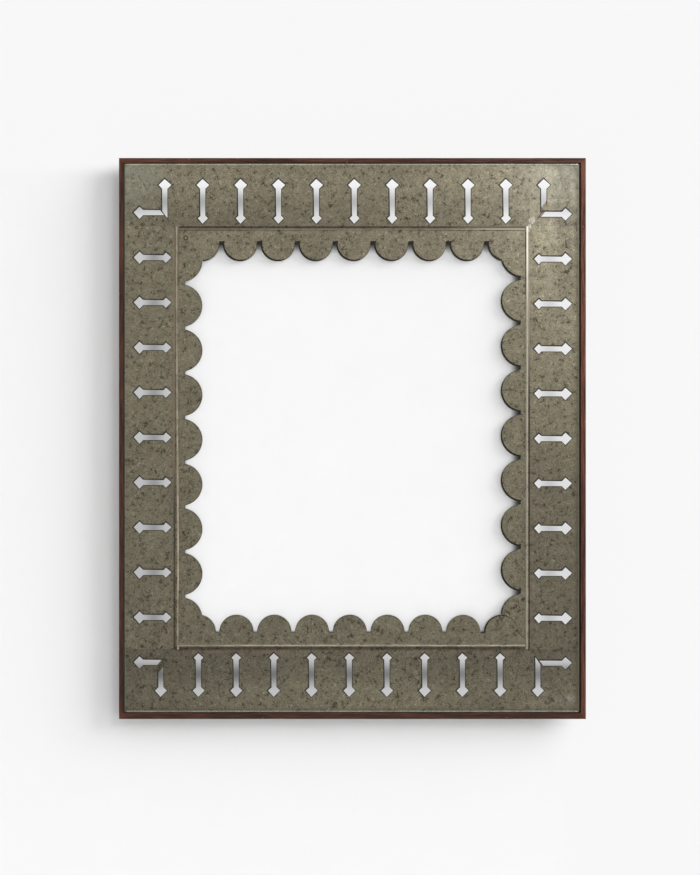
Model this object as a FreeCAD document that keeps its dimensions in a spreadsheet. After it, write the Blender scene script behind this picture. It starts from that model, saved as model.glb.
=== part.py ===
import FreeCAD, Part
import os
import Sketcher

# Pierced tin mirror in a slim mitred wooden rim, hung on a wall.
# +X right, +Z up, the front faces -Y. The origin is the middle of the outline on the wall plane.
# A standoff is a distance from the wall plane towards the front.

# Driving dimensions in millimetres
SIZES = {
    # wooden rim
    "overall_width": 610.0,
    "overall_height": 733.0,
    "rim_depth": 25.0,
    "rim_face_width_left": 6.0,
    "rim_face_width_right": 6.8,
    "rim_face_width_top": 6.4,
    "rim_face_width_bottom": 8.4,
    "rim_edge_radius": 0.8,
    "ledge_width": 9.5,
    "ledge_thickness": 8.0,
    # tin sheet
    "sheet_thickness": 0.6,
    "tin_setback": 1.5,
    "bend_radius": 1.5,
    # play between the tin and the rim
    "play_left": 0.3,
    "play_right": 1.3,
    "play_top": 0.4,
    "play_bottom": 0.4,
    # pierced band
    "band_width_left": 64.8,
    "band_width_right": 64.9,
    "band_width_top": 82.3,
    "band_width_bottom": 82.2,
    "slot_margin_left": 11.7,
    "slot_margin_right": 9.9,
    "slot_margin_top": 19.4,
    "slot_margin_bottom": 19.8,
    "slot_inner_margin_left": 2.5,
    "slot_inner_margin_right": 4.3,
    "slot_inner_margin_top": 3.1,
    "slot_inner_margin_bottom": 3.9,
    "slot_pitch_left": 58.78,
    "slot_pitch_right": 58.66,
    "slot_pitch_top": 49.53,
    "slot_pitch_bottom": 49.28,
    "slot_shift_left": 1.6,
    "slot_shift_right": 0.1,
    "slot_shift_top": 2.2,
    "slot_shift_bottom": -4.4,
    "slot_bar_width": 7.6,
    "big_diamond_left": 17.4,
    "big_diamond_right": 17.4,
    "big_diamond_top": 18.0,
    "big_diamond_bottom": 17.0,
    "small_diamond_left": 14.8,
    "small_diamond_right": 14.4,
    "small_diamond_top": 14.6,
    "small_diamond_bottom": 14.0,
    # strips behind the mitres of the band
    "lap_width": 10.0,
    "solder_width": 1.2,
    # raised bead round the mirror
    "crevice_width_left": 1.8,
    "crevice_width_right": 2.1,
    "crevice_width_top": 2.4,
    "crevice_width_bottom": 2.6,
    "bead_height": 2.0,
    "bead_width_left": 5.4,
    "bead_width_right": 4.1,
    "bead_width_top": 2.8,
    "bead_width_bottom": 3.4,
    # scalloped strips
    "strip_width_left": 7.6,
    "strip_width_right": 8.1,
    "strip_width_top": 16.5,
    "strip_width_bottom": 16.6,
    "scallop_reach_left": 22.8,
    "scallop_reach_right": 24.0,
    "scallop_reach_top": 24.2,
    "scallop_reach_bottom": 22.4,
    "scallop_radius_left": 27.7,
    "scallop_radius_right": 27.7,
    "scallop_radius_top": 22.4,
    "scallop_radius_bottom": 22.3,
    "scallop_pitch_left": 58.5,
    "scallop_pitch_right": 58.6,
    "scallop_pitch_top": 49.41,
    "scallop_pitch_bottom": 49.41,
    "scallop_shift_left": -1.7,
    "scallop_shift_right": 3.7,
    "scallop_shift_top": 1.1,
    "scallop_shift_bottom": -3.5,
    "strip_end_bevel": 9.0,
    "strip_foot_width": 18.0,
    # channel that holds the mirror
    "tray_lap": 2.0,
    "tray_flange_width": 12.0,
    "glass_setback": 6.8,
    "tab_width": 14.0,
    "tab_length": 13.0,
    # mirror and its backing
    "glass_thickness": 3.0,
    "glass_clearance": 0.8,
    "board_thickness": 3.0,
    # fasteners
    "fastener_clearance": 0.02,
    "tack_length": 5.0,
    "tack_radius": 0.7,
    "tack_head_radius": 2.2,
    "tack_head_height": 0.6,
    "tack_standoff": 14.0,
    "brad_length": 22.0,
    "brad_radius": 0.7,
    "brad_head_radius": 1.3,
    "brad_head_height": 0.8,
    "brad_back_standoff": 6.5,
    "brad_front_standoff": 18.5,
    "rivet_radius": 0.9,
    "rivet_head_radius": 1.7,
    "rivet_head_height": 0.6,
    "rivet_foot_margin": 9.2,
    "rivet_tray_gap": 1.6,
    # hanging rings
    "hanger_drop": 150.0,
    "strap_thickness": 0.9,
    "strap_width": 9.5,
    "strap_length": 12.0,
    "strap_screw_drop": 7.0,
    "ring_wire_radius": 1.1,
    "ring_clearance": 0.05,
    "ring_bend_radius": 1.7,
    "ring_side_play": 0.15,
    "ring_straight": 14.0,
    "screw_radius": 1.4,
    "screw_length": 6.0,
    "screw_head_radius": 3.1,
    "screw_head_height": 1.6,
    "screw_slot_width": 0.8,
    "screw_slot_depth": 0.7,
    # every cut runs past its solid by this much
    "overrun": 1.0,
}

SIDES = ("left", "right", "top", "bottom")
CORNERS = (("left", "top"), ("right", "top"), ("left", "bottom"), ("right", "bottom"))
TAB_SHARES = (-0.62, 0.0, 0.62)
TACK_SHARES = (-0.7, 0.0, 0.7)
BEAD_ROUND_SHARE = 0.9
SAME_PLACE = 1e-6


class Length:
    """A length as a formula on the sheet, with its value in millimetres beside it."""

    def __init__(self, formula, value):
        self.formula = formula
        self.value = value

    def joined(self, sign, other, value):
        text = other.formula if isinstance(other, Length) else repr(other)
        return Length(f"({self.formula} {sign} {text})", value)

    def __add__(self, other):
        return self.joined("+", other, self.value + plain(other))

    def __sub__(self, other):
        return self.joined("-", other, self.value - plain(other))

    def __mul__(self, other):
        return self.joined("*", other, self.value * plain(other))

    def __truediv__(self, other):
        return self.joined("/", other, self.value / plain(other))

    def __neg__(self):
        return Length(f"(0 - {self.formula})", -self.value)


ZERO = Length("0", 0.0)


def plain(length):
    return length.value if isinstance(length, Length) else length


def size(name):
    return Length("Sizes." + name, SIZES[name])


def smaller(first, second):
    return first if first.value < second.value else second


def how_many(length, pitch):
    """How many whole pitches the length holds."""
    return int(length.value / pitch.value)


def make_sheet(doc):
    sheet = doc.addObject("Spreadsheet::Sheet", "Sizes")
    for row, (name, value) in enumerate(SIZES.items(), start=1):
        sheet.set(f"A{row}", name)
        sheet.set(f"B{row}", str(value))
        sheet.setAlias(f"B{row}", name)
    doc.recompute()


doc = FreeCAD.newDocument("tin_mirror")
make_sheet(doc)


# Nested rectangles, from the outside in

def inset(rect, amount):
    return {
        "left": rect["left"] + amount,
        "right": rect["right"] - amount,
        "bottom": rect["bottom"] + amount,
        "top": rect["top"] - amount,
    }


def inset_by_side(rect, name):
    """The rectangle moved in on each side by that side's own size."""
    return {
        "left": rect["left"] + size(name + "_left"),
        "right": rect["right"] - size(name + "_right"),
        "bottom": rect["bottom"] + size(name + "_bottom"),
        "top": rect["top"] - size(name + "_top"),
    }


rim_outer = {
    "left": -size("overall_width") / 2,
    "right": size("overall_width") / 2,
    "bottom": -size("overall_height") / 2,
    "top": size("overall_height") / 2,
}
rim_inner = inset_by_side(rim_outer, "rim_face_width")
ledge_inner = inset(rim_inner, size("ledge_width"))
tin_outer = inset_by_side(rim_inner, "play")
band_inner = inset_by_side(tin_outer, "band_width")
bead_outer = inset_by_side(band_inner, "crevice_width")
bead_inner = inset_by_side(bead_outer, "bead_width")
cusp_line = inset_by_side(bead_inner, "strip_width")
tip_line = inset_by_side(cusp_line, "scallop_reach")
tray_outer = inset(band_inner, -size("tray_lap"))
tray_inner = inset(band_inner, size("tray_flange_width"))
glass_edge = inset(band_inner, size("sheet_thickness") + size("glass_clearance"))

# Standoffs, from the front back to the wall
sheet = size("sheet_thickness")
band_front = size("rim_depth") - size("tin_setback")
band_back = band_front - sheet
flange_back = band_back - sheet
glass_front = flange_back - size("glass_setback")
board_front = glass_front - size("glass_thickness")
board_back = board_front - size("board_thickness")
tab_back = board_back - sheet


def runs_across(side):
    return side in ("top", "bottom")


def from_side(rect, side, along, inward):
    """A point at a place along one side of a rectangle and a distance in from it."""
    if side == "top":
        return along, rect["top"] - inward
    if side == "bottom":
        return along, rect["bottom"] + inward
    if side == "left":
        return rect["left"] + inward, along
    return rect["right"] - inward, along


def mitred_strip(outer, inner, side):
    """The four corners of one side of a frame between two nested rectangles."""
    ends = side_ends(side)
    corners = []
    for rect, end in ((outer, ends[0]), (outer, ends[1]), (inner, ends[1]), (inner, ends[0])):
        corners.append(from_side(rect, side, rect[end], ZERO))
    return corners


def rectangle(x_low, x_high, z_low, z_high):
    return [(x_low, z_low), (x_high, z_low), (x_high, z_high), (x_low, z_high)]


def side_ends(side):
    """The names of the two sides that this side runs between."""
    return ("left", "right") if runs_across(side) else ("bottom", "top")


def side_length(rect, side):
    low_end, high_end = side_ends(side)
    return rect[high_end] - rect[low_end]


def side_middle(rect, side):
    low_end, high_end = side_ends(side)
    return (rect[high_end] + rect[low_end]) / 2


# Features of a body

def new_body(label):
    body = doc.addObject("PartDesign::Body", label)
    body.Label = label
    return body


def front_sketch(body, name, standoff):
    """A sketch seen from the front, this far off the wall: across is +X and up is +Z."""
    plane = [item for item in body.Origin.OriginFeatures if item.Role == "XZ_Plane"][0]
    sketch = body.newObject("Sketcher::SketchObject", f"{body.Name}_{name}_sketch")
    sketch.AttachmentSupport = [(plane, "")]
    sketch.MapMode = "FlatFace"
    sketch.setExpression("AttachmentOffset.Base.z", standoff.formula)
    return sketch


def pin_point(sketch, geometry, position, point):
    """Holds a point of the sketch at its distances from the two axes."""
    for kind, length in (("DistanceX", point[0]), ("DistanceY", point[1])):
        index = sketch.addConstraint(
            Sketcher.Constraint(kind, -1, 1, geometry, position, length.value))
        sketch.setExpression(f"Constraints[{index}]", length.formula)


def draw_outline(sketch, points):
    corners = [FreeCAD.Vector(across.value, up.value, 0) for across, up in points]
    count = len(corners)
    lines = [Part.LineSegment(corners[i], corners[(i + 1) % count]) for i in range(count)]
    sketch.addGeometry(lines, False)
    for i in range(count):
        sketch.addConstraint(Sketcher.Constraint("Coincident", i, 2, (i + 1) % count, 1))
    for i, point in enumerate(points):
        pin_point(sketch, i, 1, point)


def draw_circle(sketch, centre, radius):
    middle = FreeCAD.Vector(centre[0].value, centre[1].value, 0)
    circle = Part.Circle(middle, FreeCAD.Vector(0, 0, 1), radius.value)
    index = sketch.addGeometry(circle, False)
    pin_point(sketch, index, 3, centre)
    rule = sketch.addConstraint(Sketcher.Constraint("Radius", index, radius.value))
    sketch.setExpression(f"Constraints[{rule}]", radius.formula)


def pad(body, name, sketch, length):
    feature = body.newObject("PartDesign::Pad", f"{body.Name}_{name}")
    feature.Profile = sketch
    feature.setExpression("Length", length.formula)
    return feature


def prism(body, name, points, low, high):
    """A flat piece with this outline, between two standoffs."""
    sketch = front_sketch(body, name, low)
    draw_outline(sketch, points)
    return pad(body, name, sketch, high - low)


def repeat(body, name, feature, sketch, side, pitch, count):
    pattern = body.newObject("PartDesign::LinearPattern", f"{body.Name}_{name}")
    pattern.Originals = [feature]
    pattern.Direction = (sketch, ["H_Axis" if runs_across(side) else "V_Axis"])
    pattern.setExpression("Length", (pitch * (count - 1)).formula)
    pattern.Occurrences = count
    body.Tip = pattern
    return pattern


def fillet(body, name, radius, wanted):
    """Rounds the edges of the body so far that the test picks."""
    doc.recompute()
    base = body.Tip
    names = [f"Edge{i}" for i, edge in enumerate(base.Shape.Edges, start=1) if wanted(edge)]
    feature = body.newObject("PartDesign::Fillet", f"{body.Name}_{name}")
    feature.Base = (base, names)
    feature.setExpression("Radius", radius.formula)
    return feature


def lies_at(edge, x=None, y=None, z=None):
    """Whether both ends of an edge lie at these coordinates."""
    for vertex in edge.Vertexes:
        for value, wanted in ((vertex.X, x), (vertex.Y, y), (vertex.Z, z)):
            if wanted is not None and abs(value - wanted) > SAME_PLACE:
                return False
    return True


def along_side(edge, rect, side):
    """Whether an edge lies on this side of a rectangle."""
    place = rect[side].value
    return lies_at(edge, z=place) if runs_across(side) else lies_at(edge, x=place)


# Plain solids, for fasteners and hangers

TURNS = {
    "+x": FreeCAD.Rotation(FreeCAD.Vector(0, 1, 0), 90),
    "-x": FreeCAD.Rotation(FreeCAD.Vector(0, 1, 0), -90),
    "+y": FreeCAD.Rotation(FreeCAD.Vector(1, 0, 0), -90),
    "-y": FreeCAD.Rotation(FreeCAD.Vector(1, 0, 0), 90),
    "+z": FreeCAD.Rotation(),
    "-z": FreeCAD.Rotation(FreeCAD.Vector(1, 0, 0), 180),
}


def place_at(item, point, rotation=FreeCAD.Rotation()):
    item.Placement = FreeCAD.Placement(FreeCAD.Vector(0, 0, 0), rotation)
    for axis, length in zip("xyz", point):
        item.setExpression(f"Placement.Base.{axis}", length.formula)


def moved(point, direction, distance):
    """The point shifted along one of the six axis directions."""
    shifted = list(point)
    axis = "xyz".index(direction[1])
    shifted[axis] = point[axis] + distance if direction[0] == "+" else point[axis] - distance
    return tuple(shifted)


def rod(name, point, direction, radius, length):
    """A round rod that starts at the point and runs in one of the six axis directions."""
    item = doc.addObject("Part::Cylinder", name)
    item.setExpression("Radius", radius.formula)
    item.setExpression("Height", length.formula)
    place_at(item, point, TURNS[direction])
    return item


def block(name, low, high):
    item = doc.addObject("Part::Box", name)
    for side, start, end in zip(("Length", "Width", "Height"), low, high):
        item.setExpression(side, (end - start).formula)
    place_at(item, low)
    return item


def joined(label, items):
    item = doc.addObject("Part::MultiFuse", label)
    item.Shapes = items
    item.Label = label
    return item


def group(label, items):
    """Separate solids that share one node."""
    item = doc.addObject("Part::Compound", label)
    item.Links = items
    item.Label = label
    return item


def drilled(label, base, tools):
    """A piece with its fasteners' holes cut through it."""
    item = doc.addObject("Part::Cut", label)
    item.Base = base
    item.Tool = group(f"{label}_holes", tools)
    item.Label = label
    return item


# Fasteners: each gives its own solid and the hole that takes it

class Fastener:
    """A headed nail: the head's seat, the way that the shank points, and its sizes."""

    def __init__(self, name, seat, direction, kind):
        self.name = name
        self.seat = seat
        self.direction = direction
        self.kind = kind

    def solid(self):
        radius = size(self.kind + "_radius")
        head_radius = size(self.kind + "_head_radius")
        head_height = size(self.kind + "_head_height")
        top = moved(self.seat, self.direction, -head_height)
        head = rod(self.name + "_head", top, self.direction, head_radius, head_height)
        shank = rod(self.name + "_shank", self.seat, self.direction, radius,
                    size(self.kind + "_length"))
        return joined(self.name, [head, shank])

    def hole(self, user):
        clearance = size("fastener_clearance")
        name = f"{self.name}_in_{user}"
        return rod(name, self.seat, self.direction, size(self.kind + "_radius") + clearance,
                   size(self.kind + "_length") + clearance)

    def head_hole(self, user):
        clearance = size("fastener_clearance")
        top = moved(self.seat, self.direction, -(size(self.kind + "_head_height") + size("overrun")))
        return rod(f"{self.name}_head_in_{user}", top, self.direction,
                   size(self.kind + "_head_radius") + clearance,
                   size(self.kind + "_head_height") + size("overrun") + clearance)


OUTWARD = {"left": "-x", "right": "+x", "top": "+z", "bottom": "-z"}
INWARD = {"left": "+x", "right": "-x", "top": "-z", "bottom": "+z"}


def tacks(side):
    """Tacks through the band's turned-down edge into the rim, with heads inside."""
    half = side_length(rim_outer, side) / 2
    found = []
    for number, share in enumerate(TACK_SHARES):
        x, z = from_side(tin_outer, side, half * share, sheet)
        seat = (x, -size("tack_standoff"), z)
        found.append(Fastener(f"tack_{side}_{number}", seat, OUTWARD[side], "tack"))
    return found


def brads(corner):
    """Two brads through a side rail's mitre into the end of the top or bottom rail."""
    side, end = corner
    middle = size(f"rim_face_width_{end}") / 2
    z = rim_outer[end] - middle if end == "top" else rim_outer[end] + middle
    head = size("brad_head_height")
    x = rim_outer[side] + head if side == "left" else rim_outer[side] - head
    found = []
    for number, standoff in enumerate((size("brad_back_standoff"), size("brad_front_standoff"))):
        seat = (x, -standoff, z)
        found.append(Fastener(f"brad_{side}_{end}_{number}", seat, INWARD[side], "brad"))
    return found


# Wooden rim

def rim_rail(side):
    """A mitred rail: a tall outer lip, and a low ledge that the tin rests on."""
    label = f"rim_rail_{side}"
    body = new_body(label + "_wood")
    prism(body, "lip", mitred_strip(rim_outer, rim_inner, side), ZERO, size("rim_depth"))
    prism(body, "ledge", mitred_strip(rim_inner, ledge_inner, side), ZERO, size("ledge_thickness"))
    front = -size("rim_depth").value

    def front_edge(edge):
        on_front = lies_at(edge, y=front)
        return on_front and (along_side(edge, rim_outer, side) or along_side(edge, rim_inner, side))

    def back_edge(edge):
        return lies_at(edge, y=0) and along_side(edge, rim_outer, side)

    fillet(body, "rounding", size("rim_edge_radius"), lambda e: front_edge(e) or back_edge(e))
    holes = [tack.hole(label) for tack in tacks(side)]
    for corner in CORNERS:
        if side in corner:
            for brad in brads(corner):
                holes.append(brad.hole(label))
                if not runs_across(side):
                    holes.append(brad.head_hole(label))
    if side in ("left", "right"):
        holes.append(hanger_screw(side).hole(label))
    return drilled(label, body, holes)


# Pierced tin band

def slot_outline(side, middle):
    """A bar with a big diamond at its outer end and a small one at its inner end."""
    bar = size("slot_bar_width") / 2
    big = size(f"big_diamond_{side}") / 2
    small = size(f"small_diamond_{side}") / 2
    outer_tip = size(f"slot_margin_{side}")
    inner_tip = size(f"band_width_{side}") - size(f"slot_inner_margin_{side}")
    half = [
        (big, outer_tip + big),
        (bar, outer_tip + big * 2 - bar),
        (bar, inner_tip - small * 2 + bar),
        (small, inner_tip - small),
    ]
    return both_halves(side, middle, [(ZERO, outer_tip)] + half + [(ZERO, inner_tip)])


def end_slot_outline(side, middle):
    """A big diamond and a bar that the mitre cuts short."""
    bar = size("slot_bar_width") / 2
    big = size(f"big_diamond_{side}") / 2
    outer_tip = size(f"slot_margin_{side}")
    inner_end = size(f"band_width_{side}") - size(f"slot_inner_margin_{side}")
    half = [(ZERO, outer_tip), (big, outer_tip + big), (bar, outer_tip + big * 2 - bar), (bar, inner_end)]
    return both_halves(side, middle, half)


def both_halves(side, middle, half):
    """The outline on both sides of a slot's middle line, from its outer tip round."""
    places = half + [(-across, inward) for across, inward in reversed(half) if across is not ZERO]
    return [from_side(tin_outer, side, middle + across, inward) for across, inward in places]


def front_outer_edge(rect, side, standoff):
    """Picks the long outer edge of a side's piece at this standoff."""
    front = -standoff.value
    return lambda edge: lies_at(edge, y=front) and along_side(edge, rect, side)


def slot_row(label, side, outline, first, pitch, count):
    """A row of slots, as the solids that they take out of the panel."""
    body = new_body(f"{label}_{side}")
    low = band_back - size("overrun")
    sketch = front_sketch(body, "slot", low)
    draw_outline(sketch, outline(side, first))
    slot = pad(body, "slot", sketch, band_front + size("overrun") - low)
    repeat(body, "slots", slot, sketch, side, pitch, count)
    return body


def slot_rows(side):
    """The full slots along the band's inner edge, and the two end ones that the mitres cut short."""
    pitch = size(f"slot_pitch_{side}")
    count = how_many(side_length(band_inner, side), pitch)
    gaps = count + 1
    first = size(f"slot_shift_{side}") - pitch * (gaps / 2)
    full = slot_row("full_slots", side, slot_outline, first + pitch, pitch, count)
    ends = slot_row("end_slots", side, end_slot_outline, first, pitch * gaps, 2)
    return [full, ends]


def band_hollow(side):
    """The space behind a panel, rounded where the sheet is rolled over."""
    body = new_body(f"band_hollow_{side}")
    past = size("overrun")
    low_end, high_end = side_ends(side)
    low, high = tin_outer[low_end] - past, tin_outer[high_end] + past
    deep = size(f"band_width_{side}") + past
    places = [(low, sheet), (high, sheet), (high, deep), (low, deep)]
    outline = [from_side(tin_outer, side, along, inward) for along, inward in places]
    prism(body, "space", outline, size("ledge_thickness") - past, band_back)
    wall = inset(tin_outer, sheet)
    fillet(body, "bend", size("bend_radius") - sheet, front_outer_edge(wall, side, band_back))
    return body


def band_panel(side):
    """A mitred panel of pierced sheet, its outer edge rolled over and turned back to the ledge."""
    label = f"band_panel_{side}"
    body = new_body(label + "_block")
    outline = mitred_strip(tin_outer, band_inner, side)
    prism(body, "block", outline, size("ledge_thickness"), band_front)
    fillet(body, "bend", size("bend_radius"), front_outer_edge(tin_outer, side, band_front))
    holes = [tack.hole(label) for tack in tacks(side)]
    return drilled(label, body, [band_hollow(side)] + slot_rows(side) + holes)


def corner_strip(corner):
    """Tin or solder behind a mitre of the band: wide laps on one diagonal, thin seams on the other."""
    side, end = corner
    lapped = corner in (("right", "top"), ("left", "bottom"))
    label = f"corner_{'lap' if lapped else 'seam'}_{end}_{side}"
    half = size("lap_width" if lapped else "solder_width") / 2
    clear = size("bend_radius") + size("solder_width")
    run = size(f"band_width_{side}")
    rise = size(f"band_width_{end}")
    slope = run / rise
    lift = clear + half / slope
    drop = size("tray_lap") + half / slope
    across = lift * slope
    back = drop * slope
    if side == "left":
        x_start, x_end = tin_outer[side] + across, band_inner[side] - back
    else:
        x_start, x_end = tin_outer[side] - across, band_inner[side] + back
    if end == "top":
        z_start, z_end = tin_outer[end] - lift, band_inner[end] + drop
    else:
        z_start, z_end = tin_outer[end] + lift, band_inner[end] - drop
    body = new_body(label)
    outline = [(x_start - half, z_start), (x_start + half, z_start),
               (x_end + half, z_end), (x_end - half, z_end)]
    prism(body, "strip", outline, flange_back, band_back)
    return body


# Raised bead and scalloped strips

def bead(side):
    """A half-round strip on the channel's flange. The upright ones run past the level ones."""
    label = f"bead_{side}"
    body = new_body(label)
    if runs_across(side):
        ends = (bead_inner["left"], bead_inner["right"])
    else:
        ends = (band_inner["bottom"], band_inner["top"])
    width = size(f"bead_width_{side}")
    outline = [from_side(bead_outer, side, ends[0], ZERO), from_side(bead_outer, side, ends[1], ZERO),
               from_side(bead_outer, side, ends[1], width), from_side(bead_outer, side, ends[0], width)]
    crown = band_back + size("bead_height")
    prism(body, "strip", outline, band_back, crown)

    def crown_edge(edge):
        on_crown = lies_at(edge, y=-crown.value)
        return on_crown and (along_side(edge, bead_outer, side) or along_side(edge, bead_inner, side))

    room = smaller(size("bead_height"), width / 2)
    fillet(body, "rounding", room * BEAD_ROUND_SHARE, crown_edge)
    return body


def strip_levels(side):
    """The level strips lie one sheet higher, over the ends of the upright ones."""
    if runs_across(side):
        return band_front, band_front + sheet
    return band_back, band_front


def strip_outline(side):
    """The straight part of a scalloped strip, from the bead to the foot of the scallops."""
    width = size(f"strip_width_{side}")
    if runs_across(side):
        low, high = bead_inner["left"], bead_inner["right"]
        bevel = size("strip_end_bevel")
        places = [(low, ZERO), (high, ZERO), (high, width - bevel), (high - bevel, width),
                  (low + bevel, width), (low, width - bevel)]
    else:
        low, high = bead_inner["bottom"], bead_inner["top"]
        foot = size("strip_foot_width")
        low_end, high_end = low + size("strip_width_bottom"), high - size("strip_width_top")
        places = [(low, ZERO), (high, ZERO), (high, foot), (high_end, foot),
                  (high_end, width), (low_end, width), (low_end, foot), (low, foot)]
    return [from_side(bead_inner, side, along, inward) for along, inward in places]


def scallop_strip(side):
    """A strip of tin along the mirror, cut into a row of round scallops."""
    label = f"scallop_strip_{side}"
    with_rivet = side in ("left", "top")
    body = new_body(label + "_sheet" if with_rivet else label)
    low, high = strip_levels(side)
    prism(body, "strip", strip_outline(side), low, high)
    pitch = size(f"scallop_pitch_{side}")
    count = how_many(side_length(bead_inner, side), pitch)
    radius = size(f"scallop_radius_{side}")
    first = size(f"scallop_shift_{side}") - pitch * ((count - 1) / 2)
    sketch = front_sketch(body, "scallop", low)
    centre = from_side(cusp_line, side, first, size(f"scallop_reach_{side}") - radius)
    draw_circle(sketch, centre, radius)
    scallop = pad(body, "scallop", sketch, high - low)
    repeat(body, "scallops", scallop, sketch, side, pitch, count)
    trim_at_bead(body, side, low, high)
    if with_rivet:
        return drilled(label, body, [rivet_shank(f"rivet_in_{label}", size("fastener_clearance"))])
    return body


def trim_at_bead(body, side, low, high):
    """Cuts a strip straight along the bead, where its round scallops would run past it."""
    doc.recompute()
    untrimmed = body.Shape.Volume
    low_end, high_end = side_ends(side)
    start, end = bead_inner[low_end], bead_inner[high_end]
    reach = -(size(f"scallop_radius_{side}") * 2)
    places = [(start, reach), (end, reach), (end, ZERO), (start, ZERO)]
    sketch = front_sketch(body, "trim", high + size("overrun"))
    draw_outline(sketch, [from_side(bead_inner, side, along, inward) for along, inward in places])
    trim = body.newObject("PartDesign::Pocket", f"{body.Name}_trim")
    trim.Profile = sketch
    trim.setExpression("Length", (high - low + size("overrun") * 2).formula)
    doc.recompute()
    if body.Shape.Volume >= untrimmed:
        raise RuntimeError(f"{body.Label}: the trim cut nothing")


# Corner rivet, which pins the top strip to the left one

def rivet_centre(standoff):
    """The rivet's place in the left strip's foot, behind the top strip and clear of the tray."""
    x = bead_inner["left"] + size("strip_foot_width") - size("rivet_foot_margin")
    z = tray_inner["top"] - size("rivet_tray_gap") - size("rivet_head_radius")
    return x, -standoff, z


def rivet_shank(name, clearance):
    start = rivet_centre(band_back)
    return rod(name, start, "-y", size("rivet_radius") + clearance, sheet * 2)


def corner_rivet():
    head = size("rivet_head_height")
    head_radius = size("rivet_head_radius")
    shank = rivet_shank("rivet_shank", ZERO)
    front = rod("rivet_front", rivet_centre(band_front + sheet), "-y", head_radius, head)
    back = rod("rivet_back", rivet_centre(band_back), "+y", head_radius, head)
    return joined("corner_rivet", [front, shank, back])


# Channel that holds the mirror, the mirror and its backing

def tray_rail(side):
    """One side of the folded tin channel behind the bead, with tabs bent over the backing."""
    label = f"tray_rail_{side}"
    body = new_body(label)
    prism(body, "flange", mitred_strip(tray_outer, tray_inner, side), flange_back, band_back)
    prism(body, "wall", mitred_strip(band_inner, inset(band_inner, sheet), side), board_back, flange_back)
    stop_outer = inset(tray_inner, -sheet)
    prism(body, "stop", mitred_strip(stop_outer, tray_inner, side), glass_front, flange_back)
    if runs_across(side):
        prism(body, "fold", fold_outline(side), band_back, band_front)
    half = side_length(band_inner, side) / 2
    reach = size("tab_width") / 2
    for number, share in enumerate(TAB_SHARES):
        centre = side_middle(band_inner, side) + half * share
        corners = [(centre - reach, ZERO), (centre + reach, ZERO),
                   (centre + reach, size("tab_length")), (centre - reach, size("tab_length"))]
        outline = [from_side(band_inner, side, along, inward) for along, inward in corners]
        prism(body, f"tab_{number}", outline, tab_back, board_back)
    return body


def fold_outline(side):
    """The doubled edge of a level channel, between the upright strips, that carries its strip."""
    clear = size("glass_clearance")
    low, high = tip_line["left"] + clear, tip_line["right"] - clear
    return [from_side(bead_inner, side, low, ZERO), from_side(bead_inner, side, high, ZERO),
            from_side(tray_inner, side, high, ZERO), from_side(tray_inner, side, low, ZERO)]


def plate(label, low, high):
    body = new_body(label)
    outline = rectangle(glass_edge["left"], glass_edge["right"], glass_edge["bottom"], glass_edge["top"])
    prism(body, "plate", outline, low, high)
    return body


# Hanging rings on the back of the side rails

def hanger_pivot(side):
    """The middle of a ring's straight bar, where it turns in the strap's loop."""
    rail_width = size(f"rim_face_width_{side}") + size("ledge_width")
    x, z = from_side(rim_outer, side, rim_outer["top"] - size("hanger_drop"), rail_width / 2)
    return x, loop_outer_radius(), z


def loop_bore_radius():
    return size("ring_wire_radius") + size("ring_clearance")


def loop_outer_radius():
    return loop_bore_radius() + size("strap_thickness")


def hanger_screw(side):
    x, y, z = hanger_pivot(side)
    seat = (x, size("strap_thickness") * 2, z - size("strap_screw_drop"))
    return Fastener(f"hanger_screw_{side}", seat, "-y", "screw")


def hanger_strap(side):
    """A strip folded double round the ring's bar and screwed to the rail."""
    label = f"hanger_strap_{side}"
    x, y, z = hanger_pivot(side)
    half = size("strap_width") / 2
    layer = size("strap_thickness")
    foot = z - size("strap_length")
    fold = z - (loop_bore_radius() + loop_outer_radius()) / 2
    loop = rod(label + "_loop", (x - half, y, z), "+x", loop_outer_radius(), size("strap_width"))
    inner_leg = block(label + "_inner_leg", (x - half, ZERO, foot), (x + half, layer, z))
    outer_leg = block(label + "_outer_leg", (x - half, layer, foot), (x + half, layer * 2, fold))
    solid = joined(label + "_solid", [loop, inner_leg, outer_leg])
    start = (x - half - size("overrun"), y, z)
    bore = rod(label + "_bore", start, "+x", loop_bore_radius(), size("strap_width") + size("overrun") * 2)
    return drilled(label, solid, [bore, hanger_screw(side).hole(label)])


def hanger_ring(side):
    """A ring of round wire, straight at the top and round at the bottom, hanging straight down."""
    label = f"hanger_ring_{side}"
    x, y, z = hanger_pivot(side)
    wire = size("ring_wire_radius")
    bend = size("ring_bend_radius")
    flat = size("strap_width") / 2 + size("ring_side_play")
    half = flat + bend
    low = z - size("ring_straight")
    pieces = [rod(label + "_bar", (x - flat, y, z), "+x", wire, flat * 2)]
    for name, leg_x, bend_x, start in (("left", x - half, x - flat, 90), ("right", x + half, x + flat, 0)):
        leg = rod(f"{label}_leg_{name}", (leg_x, y, low), "+z", wire, size("ring_straight") - bend)
        pieces.append(leg)
        pieces.append(wire_bend(f"{label}_bend_{name}", (bend_x, y, z - bend), bend, start, 90))
    pieces.append(wire_bend(label + "_bow", (x, y, low), half, 180, 180))
    return joined(label, pieces)


def wire_bend(name, centre, radius, start, sweep):
    """A bent stretch of the ring's wire, turned from its start angle, seen from the front."""
    item = doc.addObject("Part::Torus", name)
    item.setExpression("Radius1", radius.formula)
    item.setExpression("Radius2", size("ring_wire_radius").formula)
    item.Angle3 = sweep
    upright = FreeCAD.Rotation(FreeCAD.Vector(1, 0, 0), 90)
    turned = FreeCAD.Rotation(FreeCAD.Vector(0, 0, 1), start)
    place_at(item, centre, upright.multiply(turned))
    return item


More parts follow.
